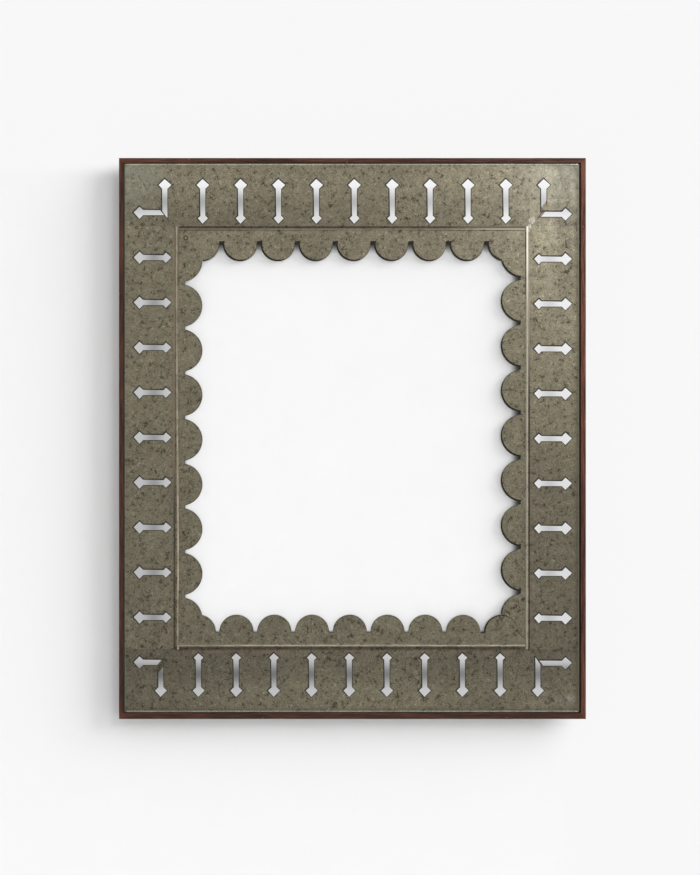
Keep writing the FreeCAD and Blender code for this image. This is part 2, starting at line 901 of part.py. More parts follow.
def hanger_screws():
    """Slotted screws, one through each strap."""
    screws = []
    for side in ("left", "right"):
        screw = hanger_screw(side)
        x, y, z = screw.seat
        top = y + size("screw_head_height")
        half = size("screw_slot_width") / 2
        reach = size("screw_head_radius") + size("overrun")
        slot = block(f"{screw.name}_slot", (x - reach, top - size("screw_slot_depth"), z - half),
                     (x + reach, top + size("overrun"), z + half))
        screws.append(drilled(f"{screw.name}_cut", screw.solid(), [slot]))
    return group("hanger_screws", screws)


# The whole mirror

parts = []
for side in SIDES:
    parts.append(rim_rail(side))
    parts.append(band_panel(side))
    parts.append(bead(side))
    parts.append(scallop_strip(side))
    parts.append(tray_rail(side))
for corner in CORNERS:
    parts.append(corner_strip(corner))
parts.append(plate("mirror_glass", board_front, glass_front))
parts.append(plate("backing_board", board_back, board_front))
parts.append(corner_rivet())
parts.append(group("corner_brads", [brad.solid() for corner in CORNERS for brad in brads(corner)]))
parts.append(group("flange_tacks", [tack.solid() for side in SIDES for tack in tacks(side)]))
for side in ("left", "right"):
    parts.append(hanger_strap(side))
    parts.append(hanger_ring(side))
parts.append(hanger_screws())

doc.recompute()

for item in doc.Objects:
    if "Invalid" in item.State or "Error" in item.State:
        raise RuntimeError(f"{item.Label}: {item.State}")
for item in parts:
    if item.Shape.isNull() or not item.Shape.isValid():
        raise RuntimeError(f"{item.Label}: no valid shape")

os.makedirs("parts", exist_ok=True)
for item in parts:
    item.Shape.exportStep(f"parts/{item.Label}.step")
    print(f"{item.Label}: {len(item.Shape.Solids)} solids, {item.Shape.Volume:.1f} mm3")
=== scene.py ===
"""Pierced tin mirror in a slim wooden rim: finishes, small tin and solder work, wall, camera and light."""
import math

import bmesh
import bpy
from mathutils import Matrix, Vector, noise

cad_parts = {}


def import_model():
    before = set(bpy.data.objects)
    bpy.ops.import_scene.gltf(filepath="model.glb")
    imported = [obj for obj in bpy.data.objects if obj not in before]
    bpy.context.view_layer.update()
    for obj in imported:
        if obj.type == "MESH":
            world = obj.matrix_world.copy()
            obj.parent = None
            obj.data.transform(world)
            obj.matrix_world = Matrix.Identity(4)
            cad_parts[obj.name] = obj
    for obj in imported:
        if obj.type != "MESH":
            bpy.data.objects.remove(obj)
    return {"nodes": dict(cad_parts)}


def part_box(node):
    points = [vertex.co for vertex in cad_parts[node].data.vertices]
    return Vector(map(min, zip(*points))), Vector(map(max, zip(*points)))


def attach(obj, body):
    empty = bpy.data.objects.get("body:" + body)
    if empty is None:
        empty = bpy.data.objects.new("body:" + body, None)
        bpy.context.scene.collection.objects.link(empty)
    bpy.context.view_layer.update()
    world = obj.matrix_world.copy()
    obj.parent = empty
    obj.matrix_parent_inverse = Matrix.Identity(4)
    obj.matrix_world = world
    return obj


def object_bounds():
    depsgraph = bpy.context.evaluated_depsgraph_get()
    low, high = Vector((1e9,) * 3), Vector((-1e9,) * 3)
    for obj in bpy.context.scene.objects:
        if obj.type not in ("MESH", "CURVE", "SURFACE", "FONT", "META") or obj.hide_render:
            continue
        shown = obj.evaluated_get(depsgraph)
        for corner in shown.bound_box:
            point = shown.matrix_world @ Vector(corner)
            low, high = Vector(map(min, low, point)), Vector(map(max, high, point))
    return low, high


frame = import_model()
cad_low, cad_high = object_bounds()

MM = 0.001
SIDES = ("left", "right", "top", "bottom")
UPRIGHT = ("left", "right")

# The photograph's scale: the rim is 466.9 pixels wide and its middle lies at this pixel
RIM_WIDTH_PX = 466.9
RIM_MIDDLE_PX = (352.45, 438.5)
IMAGE_PX = (700, 875)
PIXEL = (cad_high.x - cad_low.x) / RIM_WIDTH_PX


def at_pixel(across, down):
    """The place on the front, across and up in metres, that a pixel of the photograph shows."""
    return (across - RIM_MIDDLE_PX[0]) * PIXEL, (RIM_MIDDLE_PX[1] - down) * PIXEL


def edge_rectangle(kind):
    """The rectangle round the four pieces of a kind, in front view: left, right, bottom, top."""
    boxes = [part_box(f"{kind}_{side}") for side in SIDES]
    return (
        min(low.x for low, _ in boxes),
        max(high.x for _, high in boxes),
        min(low.z for low, _ in boxes),
        max(high.z for _, high in boxes),
    )


def inner_rectangle(kind):
    """The rectangle that the four pieces of a kind leave open, in the same order."""
    left, right, top, bottom = [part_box(f"{kind}_{side}") for side in SIDES]
    return left[1].x, right[0].x, bottom[1].z, top[0].z


RIM_EDGE = edge_rectangle("rim_rail")
TIN_EDGE = edge_rectangle("band_panel")
BEAD_EDGE = edge_rectangle("bead")
TIN_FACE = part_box("band_panel_left")[0].y
BEAD_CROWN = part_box("bead_left")[0].y
BAND_INNER = inner_rectangle("band_panel")
BEAD_INSIDE = inner_rectangle("bead")
# The lines along the tips of the scallops
TIPS = inner_rectangle("scallop_strip")
# How steeply the band's mitres rise
MITRE_SLOPE = (TIN_EDGE[3] - BAND_INNER[3]) / (BAND_INNER[0] - TIN_EDGE[0])
# The middle of the rivet
RIVET = sum(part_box("corner_rivet"), Vector()) / 2


# Node materials

class Surface:
    """A material being built: a Principled shader and the nodes that feed it."""

    def __init__(self, name, roughness, metallic=0.0, specular=0.5):
        self.material = bpy.data.materials.new(name)
        self.material.use_nodes = True
        self.nodes = self.material.node_tree.nodes
        self.links = self.material.node_tree.links
        self.shader = self.nodes["Principled BSDF"]
        self.shader.inputs["Roughness"].default_value = roughness
        self.shader.inputs["Metallic"].default_value = metallic
        self.shader.inputs["Specular IOR Level"].default_value = specular
        self.place = self.add("ShaderNodeTexCoord").outputs["Object"]

    def add(self, kind, inputs=None, **settings):
        """A new node with these settings, and with values or sockets fed to its inputs."""
        node = self.nodes.new(kind)
        for key, value in settings.items():
            setattr(node, key, value)
        for key, value in (inputs or {}).items():
            self.feed(node.inputs[key], value)
        return node

    def feed(self, socket, value):
        if isinstance(value, bpy.types.NodeSocket):
            self.links.new(value, socket)
        else:
            socket.default_value = value

    def stretched(self, scale):
        return self.add("ShaderNodeMapping", {"Vector": self.place, "Scale": scale}).outputs["Vector"]

    def noise(self, size, detail=4.0, rough=0.5, place=None, distortion=0.0):
        """Cloudy noise from 0 to 1 whose blotches are about this many metres across."""
        inputs = {
            "Vector": place or self.place,
            "Scale": 1 / size,
            "Detail": detail,
            "Roughness": rough,
            "Distortion": distortion,
        }
        return self.add("ShaderNodeTexNoise", inputs).outputs["Fac"]

    def cells(self, size):
        """How far a place lies from the nearest of some scattered points, in cells."""
        inputs = {"Vector": self.place, "Scale": 1 / size}
        return self.add("ShaderNodeTexVoronoi", inputs).outputs["Distance"]

    def steps(self, value, low, high, start=0.0, end=1.0):
        """Maps low..high smoothly to start..end, and holds it beyond."""
        inputs = {"Value": value, "From Min": low, "From Max": high, "To Min": start, "To Max": end}
        return self.add("ShaderNodeMapRange", inputs, interpolation_type="SMOOTHSTEP").outputs["Result"]

    def math(self, operation, first, second=0.0):
        return self.add("ShaderNodeMath", {0: first, 1: second}, operation=operation).outputs["Value"]

    def plus(self, first, second):
        return self.math("ADD", first, second)

    def minus(self, first, second):
        return self.math("SUBTRACT", first, second)

    def times(self, first, second):
        return self.math("MULTIPLY", first, second)

    def larger(self, first, second):
        return self.math("MAXIMUM", first, second)

    def blend(self, factor, first, second):
        node = self.add("ShaderNodeMix", data_type="RGBA")
        self.feed(node.inputs["Factor"], factor)
        for socket, colour in ((node.inputs["A"], first), (node.inputs["B"], second)):
            self.feed(socket, colour if isinstance(colour, bpy.types.NodeSocket) else (*colour, 1))
        return node.outputs["Result"]

    def scaled(self, colour, factor):
        """The colour with its brightness multiplied by a factor, which may be a socket."""
        inputs = {0: colour, "Scale": factor}
        return self.add("ShaderNodeVectorMath", inputs, operation="SCALE").outputs["Vector"]

    def axes(self):
        node = self.add("ShaderNodeSeparateXYZ", {"Vector": self.place})
        return node.outputs["X"], node.outputs["Y"], node.outputs["Z"]

    def between(self, value, low, high, soft):
        """One while a value lies between two limits, falling to zero over a soft margin beyond."""
        return self.times(self.steps(value, low - soft, low), self.steps(value, high, high + soft, 1, 0))

    def from_point(self, across, up):
        """How far a place lies from a point in the front view."""
        x, _, z = self.axes()
        aside = self.minus(x, across)
        above = self.minus(z, up)
        return self.math("SQRT", self.plus(self.times(aside, aside), self.times(above, above)))

    def where(self, mask, factor):
        """A factor where the mask is one, and no change where it is zero."""
        return self.plus(1, self.times(mask, self.minus(factor, 1)))

    def colour(self, socket):
        self.links.new(socket, self.shader.inputs["Base Color"])

    def roughness(self, socket):
        self.links.new(socket, self.shader.inputs["Roughness"])

    def bump(self, height, distance, under=None):
        """Raises the surface by a height from 0 to 1, over another bump if one is given."""
        node = self.add("ShaderNodeBump", {"Height": height, "Distance": distance})
        if under is not None:
            self.links.new(under, node.inputs["Normal"])
        self.links.new(node.outputs["Normal"], self.shader.inputs["Normal"])
        return node.outputs["Normal"]


def outside(surface, rectangle):
    """How far a place lies outside a rectangle in the front view, below zero inside it."""
    left, right, bottom, top = rectangle
    x, _, z = surface.axes()
    across = surface.larger(surface.minus(left, x), surface.minus(x, right))
    upright = surface.larger(surface.minus(bottom, z), surface.minus(z, top))
    return surface.larger(across, upright)


# Colours of the tin, from its pits to its flecks, of what has stained or bleached it in places, and of
# the painted shade and painted sheen on it
TIN_DARK = (0.046, 0.036, 0.021)
TIN_MIDDLE = (0.173, 0.154, 0.105)
TIN_LIGHT = (0.295, 0.273, 0.208)
TIN_STAIN_AND_SHADE = (0.040, 0.029, 0.015)
CREVICE_SHADE_COLOUR = (0.022, 0.016, 0.009)
TIN_BLUSH = (0.185, 0.125, 0.090)
TIN_GREEN = (0.150, 0.165, 0.125)
TIN_GREY = (0.220, 0.232, 0.192)
TIN_PAINTED_SHEEN = (0.27, 0.265, 0.225)
TIN_FROST = (0.29, 0.295, 0.255)
RUST = (0.150, 0.092, 0.048)
# The middle of a paler stretch of the top strip
BRIGHT_STRIP_PIXEL = (232.0, 240.0)
# A pale patch in the bottom right corner
FROST_PIXEL = (570.0, 699.0)
# Rust beside the slots in the top right corner: pixel and reach
RUST_SPOTS = (((541.3, 208.5), 1.6 * MM), ((547.0, 206.0), 2.4 * MM))
RUST_RAGGED = 3 * MM
RUST_SOFT = 2.5 * MM

# How far across the blotches are in each layer of the patina, and how deep its relief is
DENT_SIZE = 60 * MM
CLOUD_SIZE = 50 * MM
PATCH_SIZE = 11 * MM
FRECKLE_SIZE = 4.4 * MM
FLECK_SIZE = 4.2 * MM
GRAIN_SIZE = 1.7 * MM
DENT_DEPTH = 0.4 * MM
SKIN_DEPTH = 0.10 * MM


def tin(name, dark, middle, light, roughness=0.5):
    """Old tinplate: cloudy olive patina with dark freckles and pale flecks."""
    surface = Surface(name, roughness, metallic=0.7)
    clouds = surface.noise(CLOUD_SIZE, detail=3)
    patches = surface.noise(PATCH_SIZE, detail=4, rough=0.6)
    grain = surface.noise(GRAIN_SIZE, detail=4, rough=0.72)
    colour = surface.blend(surface.steps(patches, 0.36, 0.64), surface.scaled(middle, 0.83), middle)
    colour = surface.scaled(colour, surface.steps(grain, 0.32, 0.68, 0.64, 1.38))
    flecks = surface.noise(FLECK_SIZE, detail=4, rough=0.65)
    colour = surface.blend(surface.steps(flecks, 0.57, 0.70, 0, 0.75), colour, light)
    freckles = surface.noise(FRECKLE_SIZE, detail=5, rough=0.68)
    thick = surface.steps(patches, 0.6, 0.42, 0.45, 1)
    pits = surface.times(surface.steps(freckles, 0.53, 0.63), thick)
    colour = surface.blend(pits, colour, dark)
    colour = surface.scaled(colour, surface.steps(clouds, 0.3, 0.7, 0.93, 1.07))
    surface.roughness(surface.steps(patches, 0.35, 0.65, roughness + 0.05, roughness - 0.02))
    dents = surface.bump(surface.noise(DENT_SIZE, detail=2), DENT_DEPTH)
    skin = surface.bump(grain, SKIN_DEPTH, dents)
    surface.bump(freckles, -SKIN_DEPTH, skin)
    return surface, colour


# Changes by place: where each begins and ends, and the tone's factor or another colour's share at
# either end. The first is painted light and shade that runs up the mirror, leaning right: darker
# low down and lighter to the top right
PAINTED_SLOPE_LIGHT = (-0.45, 0.35, 0.9, 1.12)
SLOPE_LEAN = 0.5
# By the distance from a corner or a spot. The darkening in the low left corner is painted shade,
# and the pale in the top right corner is painted sheen
LOW_LEFT_PAINTED_SHADE = (20 * MM, 180 * MM, 0.85, 1)
TOP_LEFT_TONE = (60 * MM, 190 * MM, 1.1, 1)
TOP_LEFT_GREY = ((10 * MM, 24 * MM, 0.95, 0), (30 * MM, 80 * MM, 0.6, 0))
FROST_SHARE = (2 * MM, 9 * MM, 0.7, 0)
TOP_RIGHT_PAINTED_SHEEN = (20 * MM, 120 * MM, 0.3, 0)
BRIGHT_STRIP_TONE = (30 * MM, 65 * MM, 1.17, 1)
RIVET_GRIME = (2.4 * MM, 4.2 * MM, 0.75, 0)
# By the height, and for the bottom's ends by the distance from its middle. On the right panel this
# is painted shade, darker low down, with a painted shadow of the rim high up at its far right
TOP_TONE = (0.285, 0.340, 0.84, 1.1)
BOTTOM_TONE = (-0.295, -0.335, 0.84, 1.09)
BOTTOM_ENDS_TONE = (0.09, 0.20, 1, 0.9)
RIGHT_PAINTED_SHADE = (-0.05, 0.03, 0.84, 1.12)
RIGHT_LOW_PAINTED_SHADE = (-0.27, -0.19, 0.94, 1)
FAR_RIGHT_PAINTED_SHADOW = (0.13, 0.24, 1, 0.70)
# By how far outside the bead or the tin's edge a place lies
BLUSH_NEAR = (1 * MM, 12 * MM, 1, 0)
RIM_SHADE = (-9 * MM, -0.5 * MM, 0, 1)
GREEN_EDGE = (-3.5 * MM, -1 * MM, 0, 0.5)
# The rim's painted shadow and the painted highlight on the rolled edge: from and to, in from the
# tin's edge, and the share or factor
SHADE_RIGHT = (11 * MM, 8 * MM, 0.62)
SHADE_LOW = (9 * MM, 6 * MM, 0.4)
ROLLED_HIGHLIGHT = (1.0 * MM, 0.3 * MM, 3)
# Painted shade in a line outside the bead, in the crevice: from, to and how soft, and how strong
# it is beside each bead
CREVICE_SHADE_LINE = (-0.2 * MM, 1.3 * MM, 0.4 * MM)
CREVICE_SHADE_RIGHT = (0.095, 0.0, 0, 0.95)
CREVICE_SHADE_BOTTOM = 0.4
CREVICE_SHADE_LEFT = (-0.20, 0.0, 30 * MM)
# The strips' edge next to the bead: how wide it is, and its tone at the top and at the bottom
FOOT_LINE = 1.2 * MM
TOP_FOOT_TONE = (0.03, 0.10, 1, 0.72)
LOW_FOOT_TONE = 1.5


def patina_and_painted_light(surface, colour):
    """The tin's colour by its place on the mirror: painted shade, darker low down and to the left,
    painted sheen, pale up in the right corner, and patina, greenish grey in the top left corner."""
    x, _, z = surface.axes()
    left, right, bottom, top = TIN_EDGE
    # Painted light and shade up the mirror, leaning right
    slope = surface.plus(z, surface.times(x, SLOPE_LEAN))
    colour = surface.scaled(colour, surface.steps(slope, *PAINTED_SLOPE_LIGHT))
    # Painted shade in the low left corner
    low_corner = surface.from_point(left, bottom)
    colour = surface.scaled(colour, surface.steps(low_corner, *LOW_LEFT_PAINTED_SHADE))
    top_left = surface.from_point(left, top)
    colour = surface.scaled(colour, surface.steps(top_left, *TOP_LEFT_TONE))
    weathered = surface.steps(surface.noise(8 * MM, detail=5, rough=0.65), 0.38, 0.6)
    near, further = [surface.steps(top_left, *share) for share in TOP_LEFT_GREY]
    grey = surface.times(surface.larger(near, further), weathered)
    colour = surface.blend(grey, colour, TIN_GREY)
    frost = surface.steps(surface.from_point(*at_pixel(*FROST_PIXEL)), *FROST_SHARE)
    colour = surface.blend(surface.times(frost, weathered), colour, TIN_FROST)
    # Painted sheen, pale, in the top right corner
    pale = surface.steps(surface.from_point(right, top), *TOP_RIGHT_PAINTED_SHEEN)
    return surface.blend(pale, colour, TIN_PAINTED_SHEEN)


def toned_by_panel(surface, colour):
    """The tone of the top, bottom and right panels of the band, which changes along them. On the right
    panel it is painted shade, with a painted shadow of the rim.
    """
    x, _, z = surface.axes()
    above_corner = surface.steps(z, BAND_INNER[2] - 12 * MM, BAND_INNER[2] + 4 * MM)
    on_right = surface.times(surface.math("GREATER_THAN", x, BAND_INNER[1]), above_corner)
    far_right = surface.steps(x, 0.258, 0.272)
    on_top = surface.math("GREATER_THAN", z, BAND_INNER[3])
    on_bottom = surface.math("LESS_THAN", z, BAND_INNER[2])
    for mask, value, tone in (
        (on_top, z, TOP_TONE),
        (on_bottom, z, BOTTOM_TONE),
        (on_bottom, surface.math("ABSOLUTE", x), BOTTOM_ENDS_TONE),
        # Painted shade on the right panel, and the rim's painted shadow at its far right
        (on_right, z, RIGHT_PAINTED_SHADE),
        (on_right, z, RIGHT_LOW_PAINTED_SHADE),
        (far_right, z, FAR_RIGHT_PAINTED_SHADOW),
    ):
        colour = surface.scaled(colour, surface.where(mask, surface.steps(value, *tone)))
    return colour


def lined_with_painted_shade(surface, colour):
    """A dark line of painted shade in the crevice outside the right, bottom and left beads."""
    x, _, z = surface.axes()
    line = surface.between(outside(surface, BEAD_EDGE), *CREVICE_SHADE_LINE)
    for beside, strength in (
        (surface.math("GREATER_THAN", x, BEAD_EDGE[1] - MM), surface.steps(z, *CREVICE_SHADE_RIGHT)),
        (surface.math("LESS_THAN", z, BEAD_EDGE[2] + MM), CREVICE_SHADE_BOTTOM),
        (surface.math("LESS_THAN", x, BEAD_EDGE[0] + MM), surface.between(z, *CREVICE_SHADE_LEFT)),
    ):
        share = surface.times(line, surface.times(beside, strength))
        colour = surface.blend(share, colour, CREVICE_SHADE_COLOUR)
    return colour


def band_tin():
    """The band's tin: reddish by the bead, with a painted shadow of the rim at the right and the bottom,
    a line of painted shade in the crevice outside the beads, a painted highlight where it rolls over
    at the right, and with a green edge and two rust spots."""
    surface, colour = tin("band_tin", TIN_DARK, TIN_MIDDLE, TIN_LIGHT)
    colour = toned_by_panel(surface, patina_and_painted_light(surface, colour))
    x, _, z = surface.axes()
    near_bead = surface.steps(outside(surface, BEAD_EDGE), *BLUSH_NEAR)
    blotches = surface.steps(surface.noise(9 * MM), 0.47, 0.62, 0, 0.4)
    colour = surface.blend(surface.times(near_bead, blotches), colour, TIN_BLUSH)
    colour = lined_with_painted_shade(surface, colour)
    past_edge = outside(surface, TIN_EDGE)
    _, right, bottom, _ = TIN_EDGE
    # Painted shadow of the rim at the right and the bottom
    start, stop, share = SHADE_RIGHT
    right_side = surface.steps(x, right - start, right - stop, 0, share)
    start, stop, share = SHADE_LOW
    low_side = surface.steps(z, bottom + start, bottom + stop, 0, share)
    sides = surface.larger(right_side, low_side)
    shaded = surface.times(surface.steps(past_edge, *RIM_SHADE), sides)
    colour = surface.blend(shaded, colour, TIN_STAIN_AND_SHADE)
    # Painted highlight where the tin rolls over at the right
    start, stop, factor = ROLLED_HIGHLIGHT
    colour = surface.scaled(colour, surface.steps(x, right - start, right - stop, 1, factor))
    colour = surface.blend(surface.steps(past_edge, *GREEN_EDGE), colour, TIN_GREEN)
    for pixel, reach in RUST_SPOTS:
        away = surface.from_point(*at_pixel(*pixel))
        ragged = surface.times(surface.noise(RUST_RAGGED), RUST_RAGGED)
        spot = surface.steps(surface.plus(away, ragged), reach, reach + RUST_SOFT, 0.7, 0)
        colour = surface.blend(spot, colour, RUST)
    surface.colour(colour)
    return surface.material


def strip_tin():
    """The strips' tin, with grime round the rivet and a lighter or darker line next to the bead."""
    surface, colour = tin("strip_tin", TIN_DARK, TIN_MIDDLE, TIN_LIGHT)
    colour = patina_and_painted_light(surface, colour)
    x, _, z = surface.axes()
    bright = surface.from_point(*at_pixel(*BRIGHT_STRIP_PIXEL))
    top_line = surface.math("GREATER_THAN", z, BEAD_INSIDE[3] - FOOT_LINE)
    low_line = surface.math("LESS_THAN", z, BEAD_INSIDE[2] + FOOT_LINE)
    from_middle = surface.math("ABSOLUTE", x)
    for factor in (
        surface.steps(bright, *BRIGHT_STRIP_TONE),
        surface.where(top_line, surface.steps(from_middle, *TOP_FOOT_TONE)),
        surface.where(low_line, LOW_FOOT_TONE),
    ):
        colour = surface.scaled(colour, factor)
    around = surface.from_point(RIVET.x, RIVET.z)
    surface.colour(surface.blend(surface.steps(around, *RIVET_GRIME), colour, TIN_STAIN_AND_SHADE))
    return surface.material


RIVET_WORN = (0.33, 0.30, 0.25)
RIVET_MIDDLE = (0.9 * MM, 1.5 * MM, 1, 0)


def rivet_steel():
    """A rivet with a grimy rim round a bright worn middle."""
    surface = Surface("rivet_steel", 0.5, metallic=0.7)
    around = surface.from_point(RIVET.x, RIVET.z)
    grime = surface.noise(1.2 * MM, detail=3)
    clear = surface.steps(grime, 0.3, 0.6, 0.6, 1)
    worn = surface.times(surface.steps(around, *RIVET_MIDDLE), clear)
    surface.colour(surface.blend(worn, TIN_STAIN_AND_SHADE, RIVET_WORN))
    surface.bump(grime, 0.1 * MM)
    return surface.material


# Where the foot of the bead next to the strips is darker: how much all along it, and from
# and to on the side's axis
DARKER_FOOT = {
    "left": (0.15, (-0.277, -0.215), (0.245, 0.277)),
    "right": (0.0, (0.205, 0.278)),
    "top": (0.25, (-0.235, -0.165), (0.175, 0.235)),
    "bottom": (0.0, (-0.235, -0.190)),
}
FOOT_SOFT = 40 * MM
FOOT_REACH = (0.2 * MM, 1.3 * MM, 1, 0)
# The pale line along the bead, worn bright and painted highlight: the pixels of its middle at the
# low and the high end of each side's axis, how far it reaches to each side, and its colour
BEAD_LINE = {
    "left": (178.2, 176.5, 1.0 * MM, (0.330, 0.280, 0.215)),
    "right": (526.3, 527.3, 1.4 * MM, (0.290, 0.275, 0.222)),
    "top": (229.1, 229.1, 0.55 * MM, (0.250, 0.218, 0.158)),
    "bottom": (645.4, 645.4, 0.8 * MM, (0.400, 0.370, 0.290)),
}
BEAD_LINE_SOFT = 0.5 * MM
# How far those two ends of the axis lie from its middle
BEAD_HALF_RUN = 0.25
# A painted glint on the line near the bead's top right corner: its colour there, and how far it goes
BEAD_PAINTED_GLINT = (0.52, 0.49, 0.41)
GLINT_REACH = (30 * MM, 120 * MM, 1, 0)
# Painted shade: how light or dark the bead is on its outer and on its inner slope
BEAD_SLOPE_SHADES = {"left": (1.0, 0.75), "right": (1.1, 2.1), "top": (0.62, 1.0), "bottom": (1.1, 1.15)}


def bead_tin(side):
    """The same tin, with painted shade on its slopes, a thin paler line along it that is worn bright and
    painted highlight, a painted glint near the top right corner, and its inner foot darker in places.
    """
    surface, colour = tin(f"bead_tin_{side}", TIN_DARK, TIN_MIDDLE, TIN_LIGHT, 0.55)
    colour = patina_and_painted_light(surface, colour)
    x, _, z = surface.axes()
    run, across = (z, x) if side in UPRIGHT else (x, z)
    *pixels, reach, line_colour = BEAD_LINE[side]
    spots = [at_pixel(pixel, pixel) for pixel in pixels]
    line_ends = [aside if side in UPRIGHT else up for aside, up in spots]
    middle = surface.steps(run, -BEAD_HALF_RUN, BEAD_HALF_RUN, *line_ends)
    aside = surface.minus(across, middle)
    outward = surface.times(aside, -1 if side in ("left", "bottom") else 1)
    # Painted shade on the bead's outer and inner slope
    outer, inner = BEAD_SLOPE_SHADES[side]
    colour = surface.scaled(colour, surface.steps(outward, -reach, reach, inner, outer))
    half_soft = BEAD_LINE_SOFT / 2
    line = surface.steps(surface.math("ABSOLUTE", aside), reach - half_soft, reach + half_soft, 1, 0)
    patches = surface.steps(surface.noise(14 * MM, detail=4, rough=0.6), 0.36, 0.58, 0.5, 1)
    colour = surface.blend(surface.times(line, patches), colour, line_colour)
    # A painted glint on the line near the bead's top right corner
    corner = surface.from_point(BEAD_EDGE[1], BEAD_EDGE[3])
    glint = surface.times(line, surface.steps(corner, *GLINT_REACH))
    colour = surface.blend(glint, colour, BEAD_PAINTED_GLINT)
    inward = surface.steps(outside(surface, BEAD_INSIDE), *FOOT_REACH)
    darker_foot, *stretches = DARKER_FOOT[side]
    for start, stop in stretches:
        darker_foot = surface.larger(surface.between(run, start, stop, FOOT_SOFT), darker_foot)
    colour = surface.blend(surface.times(inward, darker_foot), colour, TIN_STAIN_AND_SHADE)
    surface.colour(colour)
    return surface.material


# Dull dark tin: painted shade in the gap beside the bead and on the scallops' thin lips, and the own dark
# colour of the nail heads and nicks
TRAY_DARK = (0.034, 0.028, 0.018)
TRAY_MIDDLE = (0.100, 0.086, 0.060)
TRAY_LIGHT = (0.16, 0.145, 0.11)
TRAY_DUST_AND_LIGHT = {
    "left": (0.310, 0.262, 0.190),
    "right": (0.310, 0.285, 0.225),
    "top": (0.150, 0.130, 0.090),
}
# Where pale dust and painted light fill the gap beside the bead: from, to and how softly it ends, on the
# side's axis
GAP_DUST_AND_LIGHT = {
    "left": (0.02, 0.40, 160 * MM),
    "right": (0.16, 0.40, 130 * MM),
    "top": (0.17, 0.40, 60 * MM),
}
# Painted shade in the gap: how light or dark it is where no dust lies
GAP_PAINTED_SHADE = {"left": 1.0, "right": 0.75, "top": 0.75, "bottom": 0.8}


def dark_tin(name, side=None):
    """Dull dark tin, painted shade where it shows in the gap beside the bead, with pale dust and painted
    light along part of it.
    """
    surface, colour = tin(name, TRAY_DARK, TRAY_MIDDLE, TRAY_LIGHT, 0.6)
    # Painted shade in the gap, lighter or darker by side
    if side in GAP_PAINTED_SHADE:
        colour = surface.scaled(colour, GAP_PAINTED_SHADE[side])
    if side in GAP_DUST_AND_LIGHT:
        x, _, z = surface.axes()
        # Pale dust and painted light along part of the gap
        dust = surface.between(z if side in UPRIGHT else x, *GAP_DUST_AND_LIGHT[side])
        uneven = surface.steps(surface.noise(12 * MM, detail=4), 0.35, 0.6, 0.8, 1.0)
        colour = surface.blend(surface.times(dust, uneven), colour, TRAY_DUST_AND_LIGHT[side])
    surface.colour(colour)
    return surface.material


SOLDER_DULL_SHARE = 0.6


def solder(name, bright):
    """Mottled solder of this colour, duller in places."""
    surface = Surface(name, 0.65, metallic=0.3, specular=0.3)
    mottle = surface.noise(2 * MM, detail=5)
    dull = [value * SOLDER_DULL_SHARE for value in bright]
    surface.colour(surface.blend(surface.steps(mottle, 0.35, 0.6), dull, bright))
    surface.bump(mottle, 0.15 * MM)
    return surface.material


WOOD_DARK = (0.026, 0.0095, 0.0055)
WOOD_LIGHT = (0.083, 0.032, 0.018)
WOOD_PORE = (0.010, 0.004, 0.0025)
WOOD_MITRE = (0.105, 0.036, 0.016)
WOOD_WORN = (0.35, 0.24, 0.17)
WOOD_GRAIN_SIZE = 1.6 * MM
WOOD_FIGURE_SIZE = 9 * MM
WOOD_PORE_SIZE = 0.8 * MM
WOOD_WEAR_SPACING = 22 * MM
GRAIN_STRETCH = 0.05
PORE_STRETCH = 0.02
# Painted light and shade: how light each rail is low down and high up
WOOD_PAINTED_LIGHT = {"left": (0.9, 0.95), "right": (1.5, 2.4), "top": (1.25, 1.25), "bottom": (0.9, 0.9)}


def wood(name, across, shade):
    """Stained wood with its grain along the rail, worn pale in spots, redder at the mitres, and lighter or
    darker by rail and by height as painted light and shade.
    """
    surface = Surface(name, 0.6, specular=0.2)

    def along(stretch):
        return surface.stretched((stretch, 1, 1) if across else (1, 1, stretch))

    grain = surface.noise(WOOD_GRAIN_SIZE, detail=6, rough=0.65, place=along(GRAIN_STRETCH))
    figure = surface.noise(WOOD_FIGURE_SIZE, detail=3, place=along(GRAIN_STRETCH), distortion=0.6)
    colour = surface.blend(surface.steps(grain, 0.35, 0.68), WOOD_DARK, WOOD_LIGHT)
    x, _, z = surface.axes()
    colour = surface.scaled(colour, surface.steps(figure, 0.35, 0.65, 0.8, 1.2))
    # Painted light and shade by rail and height
    colour = surface.scaled(colour, surface.steps(z, -0.15, 0.2, *shade))
    pores = surface.noise(WOOD_PORE_SIZE, detail=2, place=along(PORE_STRETCH))
    colour = surface.blend(surface.steps(pores, 0.58, 0.66, 0, 0.7), colour, WOOD_PORE)
    worn = surface.steps(surface.cells(WOOD_WEAR_SPACING), 0.03, 0.05, 0.6, 0)
    colour = surface.blend(worn, colour, WOOD_WORN)
    ends = surface.math("ABSOLUTE", x if across else z)
    limit = cad_high.x if across else cad_high.z
    mitre = surface.steps(ends, limit - 14 * MM, limit - 2 * MM, 0, 0.5)
    colour = surface.blend(mitre, colour, WOOD_MITRE)
    surface.colour(colour)
    surface.roughness(surface.steps(grain, 0.3, 0.7, 0.7, 0.5))
    surface.bump(grain, 0.12 * MM, surface.bump(pores, -0.06 * MM))
    return surface.material


SCALLOP_DEPTH = 23.4 * MM
# Painted shadow of the strips in the notches: how far into the notches of each side the glass begins to
# darken, and how dark it gets
NOTCH_SHADES = {
    "left": (19 * MM, 0.6),
    "right": (12 * MM, 0.06),
    "bottom": (19 * MM, 0.5),
    "top": (9 * MM, 0.03),
}
GLASS_HAZE = ((0.902, 0.902, 0.902), (0.912, 0.912, 0.912))
